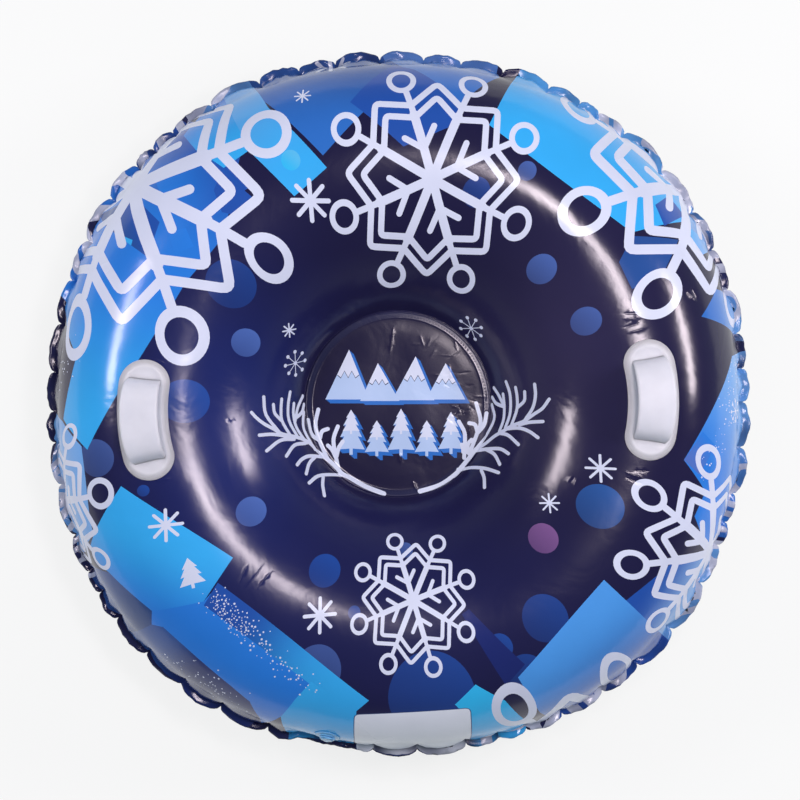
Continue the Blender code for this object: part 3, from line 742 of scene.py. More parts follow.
# Slanted blocks: corners and colour, or corners, two colours and the line that they change along
BLOCKS = (
    ((-1069, 3550, 260, 4900, 640, 5800, -2400, 6100, -2900, 5300), "mid", "dusk", (-1000, 3600, -800, 5600)),
    ((890, 4260, 60, 5050, -400, 6000, 1700, 6000, 1540, 4950), "mid", "haze", (800, 4400, 700, 5800)),
    ((-60, 5120, 240, 4960, 920, 4260, 710, 3920, 80, 3680, -680, 4290), "royal"),
    (
        (-1020, 3397, -1499, 3011, -3300, 4700, -4000, 5400, -2800, 5900, -1860, 4250),
        "sky", "pale", (-1300, 3200, -3000, 5200),
    ),
    (
        (-2190, 3690, -2490, 2440, -3060, 1740, -4300, 2400, -5200, 3500, -3700, 4700),
        "azure", "royal", (-3600, 2200, -2400, 3800),
    ),
    ((-2490, 3540, -2130, 3080, -3100, 2450, -3480, 3200), "royal", "azure", (-2200, 3200, -3400, 3000)),
    (
        (-2098, 3600, -2466, 3345, -2890, 3634, -3171, 3971, -3023, 4573, -2713, 4767),
        "sky", "azure", (-2310, 3459, -3177, 4475),
    ),
    ((-4702, 2978, -3744, 2937, -3374, 2580, -3572, 2013, -4008, 2290), "royal", "dusk", (-3680, 2696, -4081, 2437)),
    ((-4151, 2497, -3767, 2331, -3860, 1930, -4164, 2096), "sky"),
    ((-4904, 2609, -4196, 2506, -4206, 2132, -4931, 2293), "haze", "pale", (-4167, 2373, -4931, 2418)),
    ((-3261, 2439, -3011, 2500, -2915, 2257, -3160, 2135), "azure"),
    ((-2495, 3289, -2038, 2927, -2271, 2702, -2512, 2740, -2610, 3035), "royal"),
    (
        (-3060, 1740, -4430, -650, -4960, -220, -4640, 700, -5700, 2100, -4700, 2900),
        "azure", "sky", (-3800, 2000, -4400, -400),
    ),
    (
        (-5455, -111, -4998, -254, -4536, -603, -4482, -1063, -4444, -1694, -4410, -1886, -4897, -2323, -5069,
         -2456, -5583, -1523, -5624, -572),
        "pale",
    ),
    ((934, -3065, 1038, -2997, 1800, -3686, 1532, -3987), "deep"),
    (
        (1292, 3955, 1960, 5350, 2600, 6100, 5200, 4600, 5400, 3000, 3350, 2440, 3240, 2490),
        "sky", "pale", (2400, 3800, 3600, 5200),
    ),
    ((3151, 2025, 3317, 2382, 4014, 2351, 3742, 1829, 3339, 1641), "dusk"),
    ((3679, 2849, 3972, 3060, 4245, 2791, 3796, 2540), "royal"),
    ((4510, 3194, 4773, 3108, 4931, 2418, 4426, 2169, 4243, 2516), "sky", "pale", (4566, 2955, 4869, 2576)),
    ((4390, 3500, 5500, 3300, 5500, 2300, 4300, 2600), "pale", "haze", (4400, 3400, 5500, 2600)),
    ((4330, 1250, 4700, 1700, 5700, 1800, 5700, 1000, 4900, 1150), "mid", "pale", (4400, 1300, 5700, 1400)),
    (
        (4050, -790, 4560, 40, 5000, 720, 5800, 900, 5900, -2200, 4500, -2100, 4230, -1600, 4400, -1250),
        "azure", "pale", (4200, -800, 5300, 200),
    ),
    ((4050, -790, 4330, -390, 4560, -600, 4280, -1000), "violet", "azure", (4100, -800, 4500, -500)),
    (
        (-3921, -1161, -4303, -1738, -4527, -2079, -4472, -2310, -4182, -2448, -3505, -2946, -2755, -2797, -2399,
         -2232),
        "sky", "azure", (-3519, -1859, -3912, -3007),
    ),
    (
        (-4182, -2448, -3505, -2946, -3612, -3465, -4159, -3690, -4613, -3263, -4939, -2768, -4869, -2482, -4474,
         -2446),
        "slate", "dusk", (-3749, -3139, -4755, -3076),
    ),
    (
        (-3538, -3164, -3350, -3180, -3041, -3455, -2704, -3763, -2387, -4055, -2147, -4308, -2080, -4700, -2139,
         -5001, -2494, -5241, -3270, -4748, -4038, -3944, -4221, -3596),
        "dusk", "night", (-3332, -3232, -2769, -3788),
    ),
    (
        (-3505, -2946, -2755, -2797, -2650, -2680, -960, -4020, -1401, -4302, -1710, -4559, -2139, -5001, -2080,
         -4700, -2147, -4308, -2387, -4055, -2704, -3763, -3041, -3455, -3350, -3180, -3538, -3164),
        "azure",
    ),
    (
        (-2577, -2555, -411, -4199, -657, -4428, -1078, -4085, -2753, -2852),
        "royal", "sky", (-2256, -2941, -823, -4127),
    ),
    ((-1230, -3930, -1453, -4187, -1710, -4559, -1774, -5448, -730, -5588, -590, -4370), "sky"),
    (
        (3905, -2252, 3232, -2779, 3452, -3438, 4775, -4174, 5422, -3266, 5413, -2469, 4983, -2217),
        "royal", "pale", (3435, -2711, 4400, -3240),
    ),
    (
        (2929, -2496, 1702, -3871, 2104, -4563, 2804, -5402, 4861, -4243, 3776, -3291),
        "jay", "royal", (2552, -3148, 3501, -4251),
    ),
    (
        (1099, -3969, 810, -4265, 1005, -4479, 1144, -5658, 2087, -5312, 2123, -5001, 1527, -4223),
        "cyan", "sky", (1092, -4056, 1610, -5226),
    ),
)
# Corners of the bare panel
PANEL = (-630, -4420, 1040, -4320, 1180, -5690, -700, -5690)
# Peaks: foot, width, height and lean. Firs: foot, width and height, and for the one on a block its lean in degrees
PEAKS = (
    (-670, 60, 580, 660, 0.04),
    (-240, 40, 520, 500, -0.05),
    (200, 50, 560, 580, 0.06),
    (630, 60, 520, 480, 0.0),
)
FIRS = (
    (-620, -670, 360, 580),
    (-280, -690, 320, 460),
    (40, -680, 360, 600),
    (380, -690, 320, 460),
    (700, -660, 340, 540),
)
BLOCK_FIR = (-2900, -2610, 360, 430, 14)
# Speckles: both ends of a line, their spread off it and how many. This share of the spread counts
SPRAYS = (
    (-2640, -2780, -2100, -3250, 140, 190),
    (-2250, -3150, -1300, -4000, 150, 80),
    (-3300, -3700, -2300, -4400, 220, 60),
    (4750, -300, 5150, 600, 200, 70),
    (-5150, 300, -4700, 900, 160, 24),
    (4300, -1100, 4700, -500, 160, 26),
)
SPRAY_SHARE = 0.6

# Lengths of the print in metres. The shade behind the peaks and firs goes this way in steps
SPECKLE_R = (0.0005, 0.0016)
SPECKLE_GAP = 0.0002
SHADE_DEPTH = 0.0078
SHADE_STEPS = 4
SHADE_WAY = (0.75, -0.66)
SNOW_LINE = 0.0012
# Snow on a fir, as shares of it: how far up it starts, its width and its height
FIR_SNOW = (0.47, 0.62, 0.56)
PANEL_BORDER = 0.0012
PANEL_CORNER_R = 0.008
PANEL_FIELD_R = 0.007


def placed(x, y, *lengths):
    """A place and the lengths that follow it, from tenths of a millimetre to metres."""
    return ((x / TENTHS, y / TENTHS), *(length / TENTHS for length in lengths))


def spots(numbers):
    """Places in metres, from x and y in turn in tenths of a millimetre."""
    return [placed(x, y)[0] for x, y in zip(numbers[::2], numbers[1::2])]


class Layout:
    """Outlines with what each is painted with, later ones over earlier ones."""

    def __init__(self):
        self.outlines = []
        self.paints = []
        self.openings = {}

    def add(self, outline, paint, opening=None):
        area = sum(a[0] * b[1] - b[0] * a[1] for a, b in zip(outline, outline[1:] + outline[:1]))
        outline = outline if area > 0 else outline[::-1]
        self.outlines.append(dense(outline))
        self.paints.append(paint)
        if opening:
            self.openings[len(self.outlines) - 1] = len(self.outlines)
            self.outlines.append(dense(list(opening)))
            self.paints.append(None)

    def add_all(self, shapes, paint):
        for outline, opening in shapes:
            self.add(outline, paint, opening)


def shifted(outline, dx, dy):
    """The outline, moved."""
    return [(x + dx, y + dy) for x, y in outline]


def speckles():
    """Places and radii of the sprays' speckles, none on top of another."""
    draw = random.Random(3)
    found = []
    for *line, spread, count in SPRAYS:
        start, end = spots(line)
        spread = spread / TENTHS
        for _ in range(count):
            x, y = between(start, end, draw.random())
            spot = (x + draw.gauss(0, spread) * SPRAY_SHARE, y + draw.gauss(0, spread) * SPRAY_SHARE)
            radius = draw.uniform(*SPECKLE_R)
            if all(math.dist(spot, other) > radius + size + SPECKLE_GAP for other, size in found):
                found.append((spot, radius))
    return found


def print_layout():
    """The whole print. A paint is a slot and a colour. A block that changes along a line has its last colour and both
    ends of the line too, and a glow has its share, middle and radius."""
    layout = Layout()
    white = ("ice", "ice")
    for x, y, radius, colour, share in GLOWS:
        center, radius = placed(x, y, radius)
        layout.add(disc(center, radius, sides=44), ("glow", colour, share, center, radius))
    for corners, *colours in BLOCKS:
        if len(colours) > 1:
            colours[2:] = spots(colours[2])
        layout.add(spots(corners), ("block", *colours))
    x, y, radius, *colours = HALO
    center, radius = placed(x, y, radius)
    ends = [polar(center, radius, angle) for angle in HALO_WAY]
    layout.add(disc(center, radius, sides=40), ("block", *colours, *ends))
    for spot, radius in speckles():
        layout.add(disc(spot, radius, sides=6), white)
    for pins in FLAKES:
        layout.add_all(snowflake(pins), white)
    for *star, turn_deg, width_share in STARS:
        layout.add_all(asterisk(*placed(*star), turn_deg, width_share), white)
    for *star, turn_deg in DOTTED_STARS:
        layout.add_all(dotted_star(*placed(*star), turn_deg), white)
    layout.add(fir(*placed(*BLOCK_FIR[:4]), BLOCK_FIR[4]), white)
    add_landscape(layout, white)
    for stem, needles in (LEFT_SPRIG, RIGHT_SPRIG):
        layout.add_all(sprig(stem, needles), white)
    panel = spots(PANEL)
    layout.add(rounded(panel, PANEL_CORNER_R), ("panel", "slate"))
    layout.add(rounded(inset(panel, PANEL_BORDER), PANEL_FIELD_R), ("panel", "panel"))
    return layout


def add_landscape(layout, white):
    """Peaks and firs in the well, with a stepped shade behind them and snow on them."""
    peaks = [(*placed(*numbers), lean) for *numbers, lean in PEAKS]
    firs = [placed(*numbers) for numbers in FIRS]
    solids = [peak(*shape)[0] for shape in peaks] + [fir(*shape) for shape in firs]
    for step in range(SHADE_STEPS, 0, -1):
        dx, dy = (SHADE_DEPTH * step / SHADE_STEPS * way for way in SHADE_WAY)
        for outline in solids:
            layout.add(shifted(outline, dx, dy), ("shade", "mid"))
    for shape in peaks:
        body, snow = peak(*shape)
        layout.add(body, ("ice", "frost"))
        layout.add(shifted(snow, 0.0, -SNOW_LINE), ("shade", "ink_and_shade"))
        layout.add(snow, white)
    up, wide, tall = FIR_SNOW
    for foot, width, height in firs:
        layout.add(fir(foot, width, height), ("ice", "frost"))
        layout.add(fir((foot[0], foot[1] + height * up), width * wide, height * tall), white)


def inset(corners, gap):
    """The corners, moved in along their lines to the middle."""
    center = np.mean(corners, axis=0)
    found = []
    for corner in corners:
        away = np.array(corner) - center
        found.append(tuple(center + away * (1 - gap * 1.4 / np.linalg.norm(away))))
    return found


def rounded(corners, radius):
    """The same corners, each rounded off."""
    found = []
    count = len(corners)
    for index, corner in enumerate(corners):
        here = np.array(corner)
        before = np.array(corners[index - 1]) - here
        after = np.array(corners[(index + 1) % count]) - here
        a = here + before / np.linalg.norm(before) * radius
        b = here + after / np.linalg.norm(after) * radius
        for share in (0.0, 0.25, 0.5, 0.75, 1.0):
            found.append(tuple((1 - share) ** 2 * a + 2 * share * (1 - share) * here + share**2 * b))
    return found


# Meshes


def box_of(outline):
    xs, ys = zip(*outline)
    return min(xs), min(ys), max(xs), max(ys)


def within(box, x, y):
    return box[0] <= x <= box[2] and box[1] <= y <= box[3]


def cut_sheet(side, layout):
    """The flat sheet, divided along its outlines: its points, its triangles and which outline paints each, or -1."""
    grid, edge = sheet_grid()
    loops = [edge] + layout.outlines
    hole = len(loops)
    if side > 0:
        center = polar((0.0, 0.0), FLOOR_R + WELD_ARC - VALVE_RISE, math.radians(VALVE_AZIMUTH))
        loops.append(disc(center, VALVE_HOLE_R))
    verts = [Vector(p) for p in grid]
    faces = []
    for loop in loops:
        faces.append(list(range(len(verts), len(verts) + len(loop))))
        verts += [Vector(p) for p in loop]
    flat, _, triangles, _, _, inside = delaunay_2d_cdt(verts, [], faces, 0, 1e-6, True)
    boxes = [box_of(loop) for loop in loops]
    kept, chosen = [], []
    for triangle, covers in zip(triangles, inside):
        x, y = (sum(flat[corner][axis] for corner in triangle) / 3 for axis in (0, 1))
        covers = {cover for cover in covers if within(boxes[cover], x, y)}
        if 0 not in covers or hole in covers:
            continue
        top = 0
        for cover in covers - {0}:
            opening = layout.openings.get(cover - 1)
            if layout.paints[cover - 1] and (opening is None or opening + 1 not in covers):
                top = max(top, cover)
        kept.append(triangle)
        chosen.append(top - 1)
    flat = np.array([(p[0], p[1]) for p in flat])
    used, triangles = np.unique(np.array(kept), return_inverse=True)
    return flat[used], triangles.reshape(-1, 3), np.array(chosen)


def film_object(name, side, film, layout, slots):
    """A film as one mesh, cut along the outlines of its print."""
    flat, triangles, chosen = cut_sheet(side, layout)
    if side < 0:
        triangles = triangles[:, ::-1]
    places = wrap(flat[:, 0], flat[:, 1], side, film)
    normals = outward(flat[:, 0], flat[:, 1], side, film)
    obj = mesh_object(name, places.tolist(), triangles.tolist(), *slots.values())
    slot_names = list(slots)
    kinds = np.array([slot_names.index(p[0]) if p else 0 for p in layout.paints] + [0])
    obj.data.polygons.foreach_set("material_index", kinds[chosen].astype(np.int32))
    if side > 0:
        paint_corners(obj.data, flat, triangles, chosen, layout)
    obj.data.update()
    obj.data.normals_split_custom_set_from_vertices(normals.tolist())
    return obj


# A disc of light gets stronger this way over it
GLOW_WAY = (0.6, 0.8)
GLOW_LEVEL = 0.76
GLOW_CHANGE = 0.24


def paint_corners(mesh, flat, triangles, chosen, layout):
    """Writes the print's colours, with the painted sheen, reflection and shade, to the corners of the faces."""
    inks = ink_colours()
    corners = flat[triangles]
    colours = ground_and_sheen_colour(corners, inks)
    for index, paint in enumerate(layout.paints):
        where = chosen == index
        if paint is None or not where.any():
            continue
        inside = corners[where]
        if paint[0] == "glow":
            _, colour, share, center, radius = paint
            across = ((inside - np.array(center)) @ np.array(GLOW_WAY)) / radius
            amount = (share * (GLOW_LEVEL + GLOW_CHANGE * across))[..., None]
            colours[where] = colours[where] * (1 - amount) + inks[colour] * amount
        elif len(paint) > 2:
            _, first, last, start, end = paint
            along = np.array(end) - np.array(start)
            share = smooth(((inside - np.array(start)) @ along) / (along @ along))[..., None]
            colours[where] = inks[first] * (1 - share) + inks[last] * share
        else:
            colours[where] = inks[paint[1]]
    # Painted shade on the seam's margin, laid over all of the print
    colours = painted_margin_shade(corners, colours, inks)
    values = np.ones((len(triangles) * 3, 4), np.float32)
    values[:, :3] = colours.reshape(-1, 3)
    attribute = mesh.attributes.new("print_and_painted_light", "FLOAT_COLOR", "CORNER")
    attribute.data.foreach_set("color", values.ravel())


# Painted light on the ground: a bluer painted sheen left of the well, a fainter bluer patch below it, and a purplish
# painted reflection right of it: middle and size
LEFT_SHEEN = ((-0.25, -0.02), (0.13, 0.20))
LOW_PATCH = ((-0.05, -0.30), (0.30, 0.16))
RIGHT_REFLECTION = ((0.24, 0.08), (0.10, 0.16))
# Lighter painted sheen on the floor's weld: how far inside its edge, half-width and strength
WELD_SHEEN_BAND = (0.0052, 0.0042, 0.85)


def ground_and_sheen_colour(places, inks):
    """The navy ground with painted light on it: a bluer painted sheen to the left of the well and a fainter bluer patch
    below it, a purplish painted reflection to the right, a lighter painted sheen on the floor's weld, and a greyer
    floor that is partly painted sheen.
    """
    rho = np.hypot(places[..., 0], places[..., 1])

    def patch(middle, size):
        return np.exp(-(((places - np.array(middle)) / np.array(size)) ** 2).sum(-1))

    outside = smooth((rho - FLOOR_R) / 0.04)
    # Painted sheen: the deep blue mixed in left of the well, and a fainter bluer patch below it
    share = (np.clip(patch(*LEFT_SHEEN) + patch(*LOW_PATCH) * 0.30, 0, 1) * outside)[..., None]
    # Painted reflection: a purplish patch right of the well
    right = (patch(*RIGHT_REFLECTION) * outside)[..., None]
    # Painted sheen on the ring of the floor's weld
    back, half, strength = WELD_SHEEN_BAND
    band = (np.exp(-(((rho - FLOOR_R + back) / half) ** 4)) * strength)[..., None]
    # The seat's floor takes its greyer ground, partly a painted sheen of its wrinkled film
    inner = smooth((FLOOR_R - rho) / 0.012)[..., None]
    colours = inks["ground"] * (1 - share) + inks["deep"] * share
    colours = colours * (1 - right) + inks["plum"] * right
    colours = colours * (1 - inner) + inks["floor"] * inner
    return colours * (1 - band) + inks["weld"] * band


def painted_margin_shade(places, colours, inks):
    """The margin past the outer weld: the print goes on under painted shade, darker in some lobes than in others and
    across each lobe.
    """
    rho = np.hypot(places[..., 0], places[..., 1])
    turn = turn_at(np.arctan2(places[..., 1], places[..., 0]))
    lobe = np.floor(turn * LOBES).astype(int) % LOBES
    # Painted shade: the steep margin faces away from the lamps, so its print is darkened towards the dark line colour,
    # by a random amount in each lobe
    shade = np.random.default_rng(8).uniform(0.25, 0.95, LOBES)[lobe]
    across = (turn * LOBES) % 1.0
    # The painted shade also changes across each lobe
    streak = 0.75 + 0.25 * np.cos(math.tau * (across + shade))
    amount = (smooth((rho - FLOOR_R - WELD_ARC + 0.006) / 0.008) * shade * streak)[..., None]
    return colours * (1 - amount) + inks["ink_and_shade"] * amount


def ink_colours():
    inks = bpy.context.scene.snow_tube_print
    return {name: np.array(getattr(inks, name)) for name in inks.__annotations__}


def mesh_object(name, verts, faces, *materials):
    mesh = bpy.data.meshes.new(name)
    mesh.from_pydata([tuple(v) for v in verts], [], faces)
    mesh.polygons.foreach_set("use_smooth", [True] * len(faces))
    for material in materials:
        mesh.materials.append(material)
    mesh.update()
    obj = bpy.data.objects.new(name, mesh)
    bpy.context.scene.collection.objects.link(obj)
    return obj


# Places on the tube


class Seat:
    """A place on the top film's outer face: u runs round the tube, v up the film, h off it."""

    def __init__(self, azimuth_deg, arc):
        self.azimuth = math.radians(azimuth_deg)
        self.arc = arc
        self.radius = float(np.interp(arc, ARC, RADIUS))
        self.slope = float(np.interp(arc, ARC, SLOPE))

    def bend(self, points, bow_r=None):
        """Bends a flat moulding onto the film."""
        x, y, z = np.array(points, float).T
        ease = 1 / self.radius - 1 / bow_r if bow_r else 0.0
        arc = self.arc + ease * x * x / 2 - y
        off = TOP_FILM + z
        slope = np.interp(arc, ARC, SLOPE)
        radius = np.interp(arc, ARC, RADIUS) + off * np.sin(slope)
        height = MID_Z + FILM_GAP / 2 + np.interp(arc, ARC, HEIGHT) + off * np.cos(slope)
        angle = self.azimuth + x / self.radius
        return np.stack((radius * np.cos(angle), radius * np.sin(angle), height), 1)

    def frame(self):
        """Matrix with X along u, Y up the film and Z straight off it."""
        out = Vector((math.cos(self.azimuth), math.sin(self.azimuth), 0.0))
        x = Vector((-math.sin(self.azimuth), math.cos(self.azimuth), 0.0))
        z = out * math.sin(self.slope) + Vector((0.0, 0.0, math.cos(self.slope)))
        axes = Matrix((x, z.cross(x), z)).transposed().to_4x4()
        return Matrix.Translation(Vector(self.bend([(0.0, 0.0, 0.0)])[0])) @ axes


def bridged(rows, count, turned=False):
    """Faces between rows of points that close on themselves. Turned rows run the other way round."""
    faces = []
    for row in range(rows - 1):
        for k in range(count):
            a, b = row * count + k, row * count + (k + 1) % count
            faces.append((a, a + count, b + count, b) if turned else (a, b, b + count, a + count))
    return faces


def closed(rows, count, turned=False):
    """Faces of a shell of such rows, whose first and last row run there and back."""
    faces = bridged(rows, count, turned)
    last = (rows - 1) * count
    for first, flip in ((0, False), (last, True)) if turned else ((last, False), (0, True)):
        for k in range(count // 2 - 1):
            quad = (first + k, first + k + 1, first + count - 2 - k, first + count - 1 - k)
            faces.append(quad[::-1] if flip else quad)
    return faces


def plate_shell(handle):
    """The welded plate of a handle, with a thin lip round it and a soft step up to its field."""
    end_r = HANDLE_WIDTH / 2
    straight = HANDLE_LENGTH / 2 - end_r
    border = HANDLE_PLATE + handle.border
    profile = (
        (0.0, 0.0), (0.0, 0.0006), (0.0004, 0.0009), (0.0038, 0.0010), (0.0050, 0.0014), (0.0062, HANDLE_PLATE),
        (0.0080, border), (0.0098, border), (0.0115, HANDLE_PLATE), (0.0180, HANDLE_PLATE), (0.0250, HANDLE_PLATE),
        (0.0320, HANDLE_PLATE),
    )
    verts = []
    for inward, z in profile:
        verts += [(x, y, z + SEAT_GAP) for x, y in stadium(straight, end_r - inward)]
    return verts, closed(len(profile), len(verts) // len(profile))


ROUND_STEPS = 20


def stadium(straight, end_r):
    """Points round an oblong with round ends: its upper half from right to left, then its lower half back."""
    angles = [math.pi / 2 * (k + 0.5) / ROUND_STEPS for k in range(ROUND_STEPS)]
    upper = [(straight + end_r * math.cos(a), end_r * math.sin(a)) for a in angles]
    upper += [(straight * (1 - k / 8), end_r) for k in range(17)]
    upper += [(-x, y) for x, y in upper[ROUND_STEPS - 1 :: -1]]
    return upper + [(x, -y) for x, y in upper[::-1]]


def arch(half_span, rise, count):
    """Points along an arch, as x and z."""
    foot = HANDLE_PLATE / 2
    found = []
    for index in range(count + 1):
        angle = math.pi * index / count
        across, up = math.cos(angle), math.sin(angle)
        x = -half_span * math.copysign(abs(across) ** (2 / ARCH_POWER), across)
        found.append((x, foot + (rise - foot) * abs(up) ** (2 / ARCH_POWER)))
    return found


# Half of the grip's lanes: share of its half-width and how much thinner it is there, as a share of its edge
GRIP_LANES = (
    (1.0, 1.0), (0.995, 0.72), (0.975, 0.42), (0.94, 0.16), (0.89, 0.0), (0.82, 0.0), (0.72, 0.10), (0.5, 0.20),
    (0.25, 0.24), (0.0, 0.25),
)
GRIP_STEPS = 40
DISH_SHARE = 0.8
FLARE_FADE = 0.0022
UNDER_ROUND = 0.75


def grip_shell(handle):
    """The grip: a soft arch with rolled edges, a shallow dish over the fingers and flared feet."""
    half = GRIP_WIDTH / 2
    edge = GRIP_THICK / 2
    lanes = [(half * lane, edge * pinch) for lane, pinch in GRIP_LANES]
    lanes += [(-y, pinch) for y, pinch in lanes[-2::-1]]
    verts = []
    for y, pinch in lanes:
        dish = min(pinch, handle.dish) if abs(y) < half * DISH_SHARE else pinch
        under = min(pinch, edge * UNDER_ROUND)
        outer = arch(GRIP_SPAN / 2 - pinch, GRIP_RISE - dish, GRIP_STEPS)
        inner = arch(GRIP_SPAN / 2 - GRIP_FOOT + under, GRIP_RISE - GRIP_THICK + under, GRIP_STEPS)
        for x, z in outer:
            flare = handle.flare * math.exp(-max(z - HANDLE_PLATE, 0.0) / FLARE_FADE)
            verts.append((x + math.copysign(flare, x), y, z + SEAT_GAP))
        verts += [(x, y, z + SEAT_GAP) for x, z in inner[::-1]]
    return verts, closed(len(lanes), 2 * (GRIP_STEPS + 1), turned=True)


def bent_object(name, shells, seat, material):
    """One object of several flat shells, bent onto the film."""
    verts, faces = [], []
    for shell_verts, shell_faces in shells:
        base = len(verts)
        verts += shell_verts
        faces += [tuple(base + k for k in face) for face in shell_faces]
    return mesh_object(name, seat.bend(verts, HANDLE_BOW_R), faces, material)


# Materials


def set_inputs(tree, node, inputs):
    """Gives each input that is named its value, or links it to the socket given."""
    for name, value in inputs.items():
        if isinstance(value, bpy.types.NodeSocket):
            tree.links.new(value, node.inputs[name])
        else:
            node.inputs[name].default_value = value


def add_node(tree, kind, inputs=None, **settings):
    """A node of this kind, with its settings and inputs."""
    node = tree.nodes.new(kind)
    for name, value in settings.items():
        setattr(node, name, value)
    set_inputs(tree, node, inputs or {})
    return node


def noise(tree, scale, detail, twist=0.0):
    """Noise that is fixed to the object."""
    place = add_node(tree, "ShaderNodeTexCoord").outputs["Object"]
    inputs = {"Vector": place, "Scale": scale, "Detail": detail, "Distortion": twist}
    return add_node(tree, "ShaderNodeTexNoise", inputs).outputs["Fac"]


def bumps(tree, layers):
    """A chain of noise bumps: scale, detail, distortion, strength and distance of each."""
    below = {}
    for *kind, strength, distance in layers:
        inputs = {"Height": noise(tree, *kind), "Strength": strength, "Distance": distance, **below}
        below = {"Normal": add_node(tree, "ShaderNodeBump", inputs).outputs["Normal"]}
    return below["Normal"]


def ranged(tree, value, seen, wanted, **settings):
    """The value, moved from one range to another."""
    inputs = {"Value": value, "From Min": seen[0], "From Max": seen[1], "To Min": wanted[0], "To Max": wanted[1]}
    return add_node(tree, "ShaderNodeMapRange", inputs, **settings).outputs["Result"]


def cloudy(tree, low, high, scale):
    """A value that drifts between low and high over the surface."""
    return ranged(tree, noise(tree, scale, 3.0), (0.3, 0.7), (low, high))


def tinted(tree, colour, amount, scale):
    """The colour, a little lighter and darker in soft clouds."""
    shade = cloudy(tree, 1 - amount, 1 + amount, scale)
    return add_node(tree, "ShaderNodeVectorMath", {0: colour, "Scale": shade}, operation="SCALE").outputs["Vector"]


def plain_colour(tree, colour):
    """A node's socket that gives this colour."""
    tone = add_node(tree, "ShaderNodeRGB").outputs[0]
    tone.default_value = (*colour, 1.0)
    return tone


# Finishes: strength and scale of the clouds in the colour, scale of those in the gloss, and the bumps
PRINTED = (0.05, 9.0, 7.0, ((14.0, 3.0, 0.6, 0.10, 0.010), (260.0, 2.0, 0.0, 0.05, 0.0006)))
PLAIN = (0.14, 11.0, 16.0, ((16.0, 3.0, 0.8, 0.12, 0.010), (420.0, 2.0, 0.0, 0.14, 0.0008)))
MOULDED = (0.03, 40.0, 60.0, ((55.0, 2.0, 0.4, 0.08, 0.004), (900.0, 2.0, 0.0, 0.05, 0.0003)))


def finished(name, finish, rough_low, rough_high, colour=None):
    """A material with one of the finishes. Without a colour of its own it takes the print's, with the light painted
    into it.
    """
    material = bpy.data.materials.new(name)
    material.use_nodes = True
    tree = material.node_tree
    if colour is None:
        source = add_node(tree, "ShaderNodeAttribute", attribute_name="print_and_painted_light").outputs["Color"]
    else:
        source = plain_colour(tree, colour)
    tint, cloud_scale, gloss_scale, layers = finish
    inputs = {
        "Base Color": tinted(tree, source, tint, cloud_scale),
        "Roughness": cloudy(tree, rough_low, rough_high, gloss_scale),
        "Normal": bumps(tree, layers),
    }
    set_inputs(tree, tree.nodes["Principled BSDF"], inputs)
    return material


def moulding(name, colour, rough_low, rough_high, milky):
    """Soft moulded vinyl with a faint flow in it."""
    material = finished(name, MOULDED, rough_low, rough_high, colour)
    inputs = {"Subsurface Weight": milky, "Subsurface Radius": (1.0, 1.0, 1.0), "Subsurface Scale": 0.011}
    set_inputs(material.node_tree, material.node_tree.nodes["Principled BSDF"], inputs)
    return material


def carried_over(node, material):
    """A solid that keeps its shape gets its finish."""
    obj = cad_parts[node]
    for slot in obj.material_slots:
        slot.material = material


# Settings that a user would change


def colour_property(name, text, value):
    return FloatVectorProperty(name=name, description=text, subtype="COLOR", size=3, min=0.0, max=1.0, default=value)


def length_property(name, text, value):
    return FloatProperty(name=name, description=text, default=value, unit="LENGTH")


def factor_property(name, text, value, **limits):
    return FloatProperty(name=name, description=text, default=value, subtype="FACTOR", **limits)


class SnowTubeFilm(bpy.types.PropertyGroup):
    wrinkles: factor_property("Wrinkles", "Strength of the film's creases", 1.0, min=0.0)
    bead_height: length_property("Weld Bead", "Height of the bead on the floor's weld", 0.0009)
    pucker_depth: length_property("Fine Puckers", "Depth of the small creases at the seam", 0.0022)
    fin_wave: length_property("Seam Wave", "How far the seam's margin waves up and down", 0.0028)
    roughness: factor_property("Roughness", "Roughness of the printed film", 0.175)
    base: colour_property("Base Film", "Colour of the plain sliding film", (0.008, 0.010, 0.026))


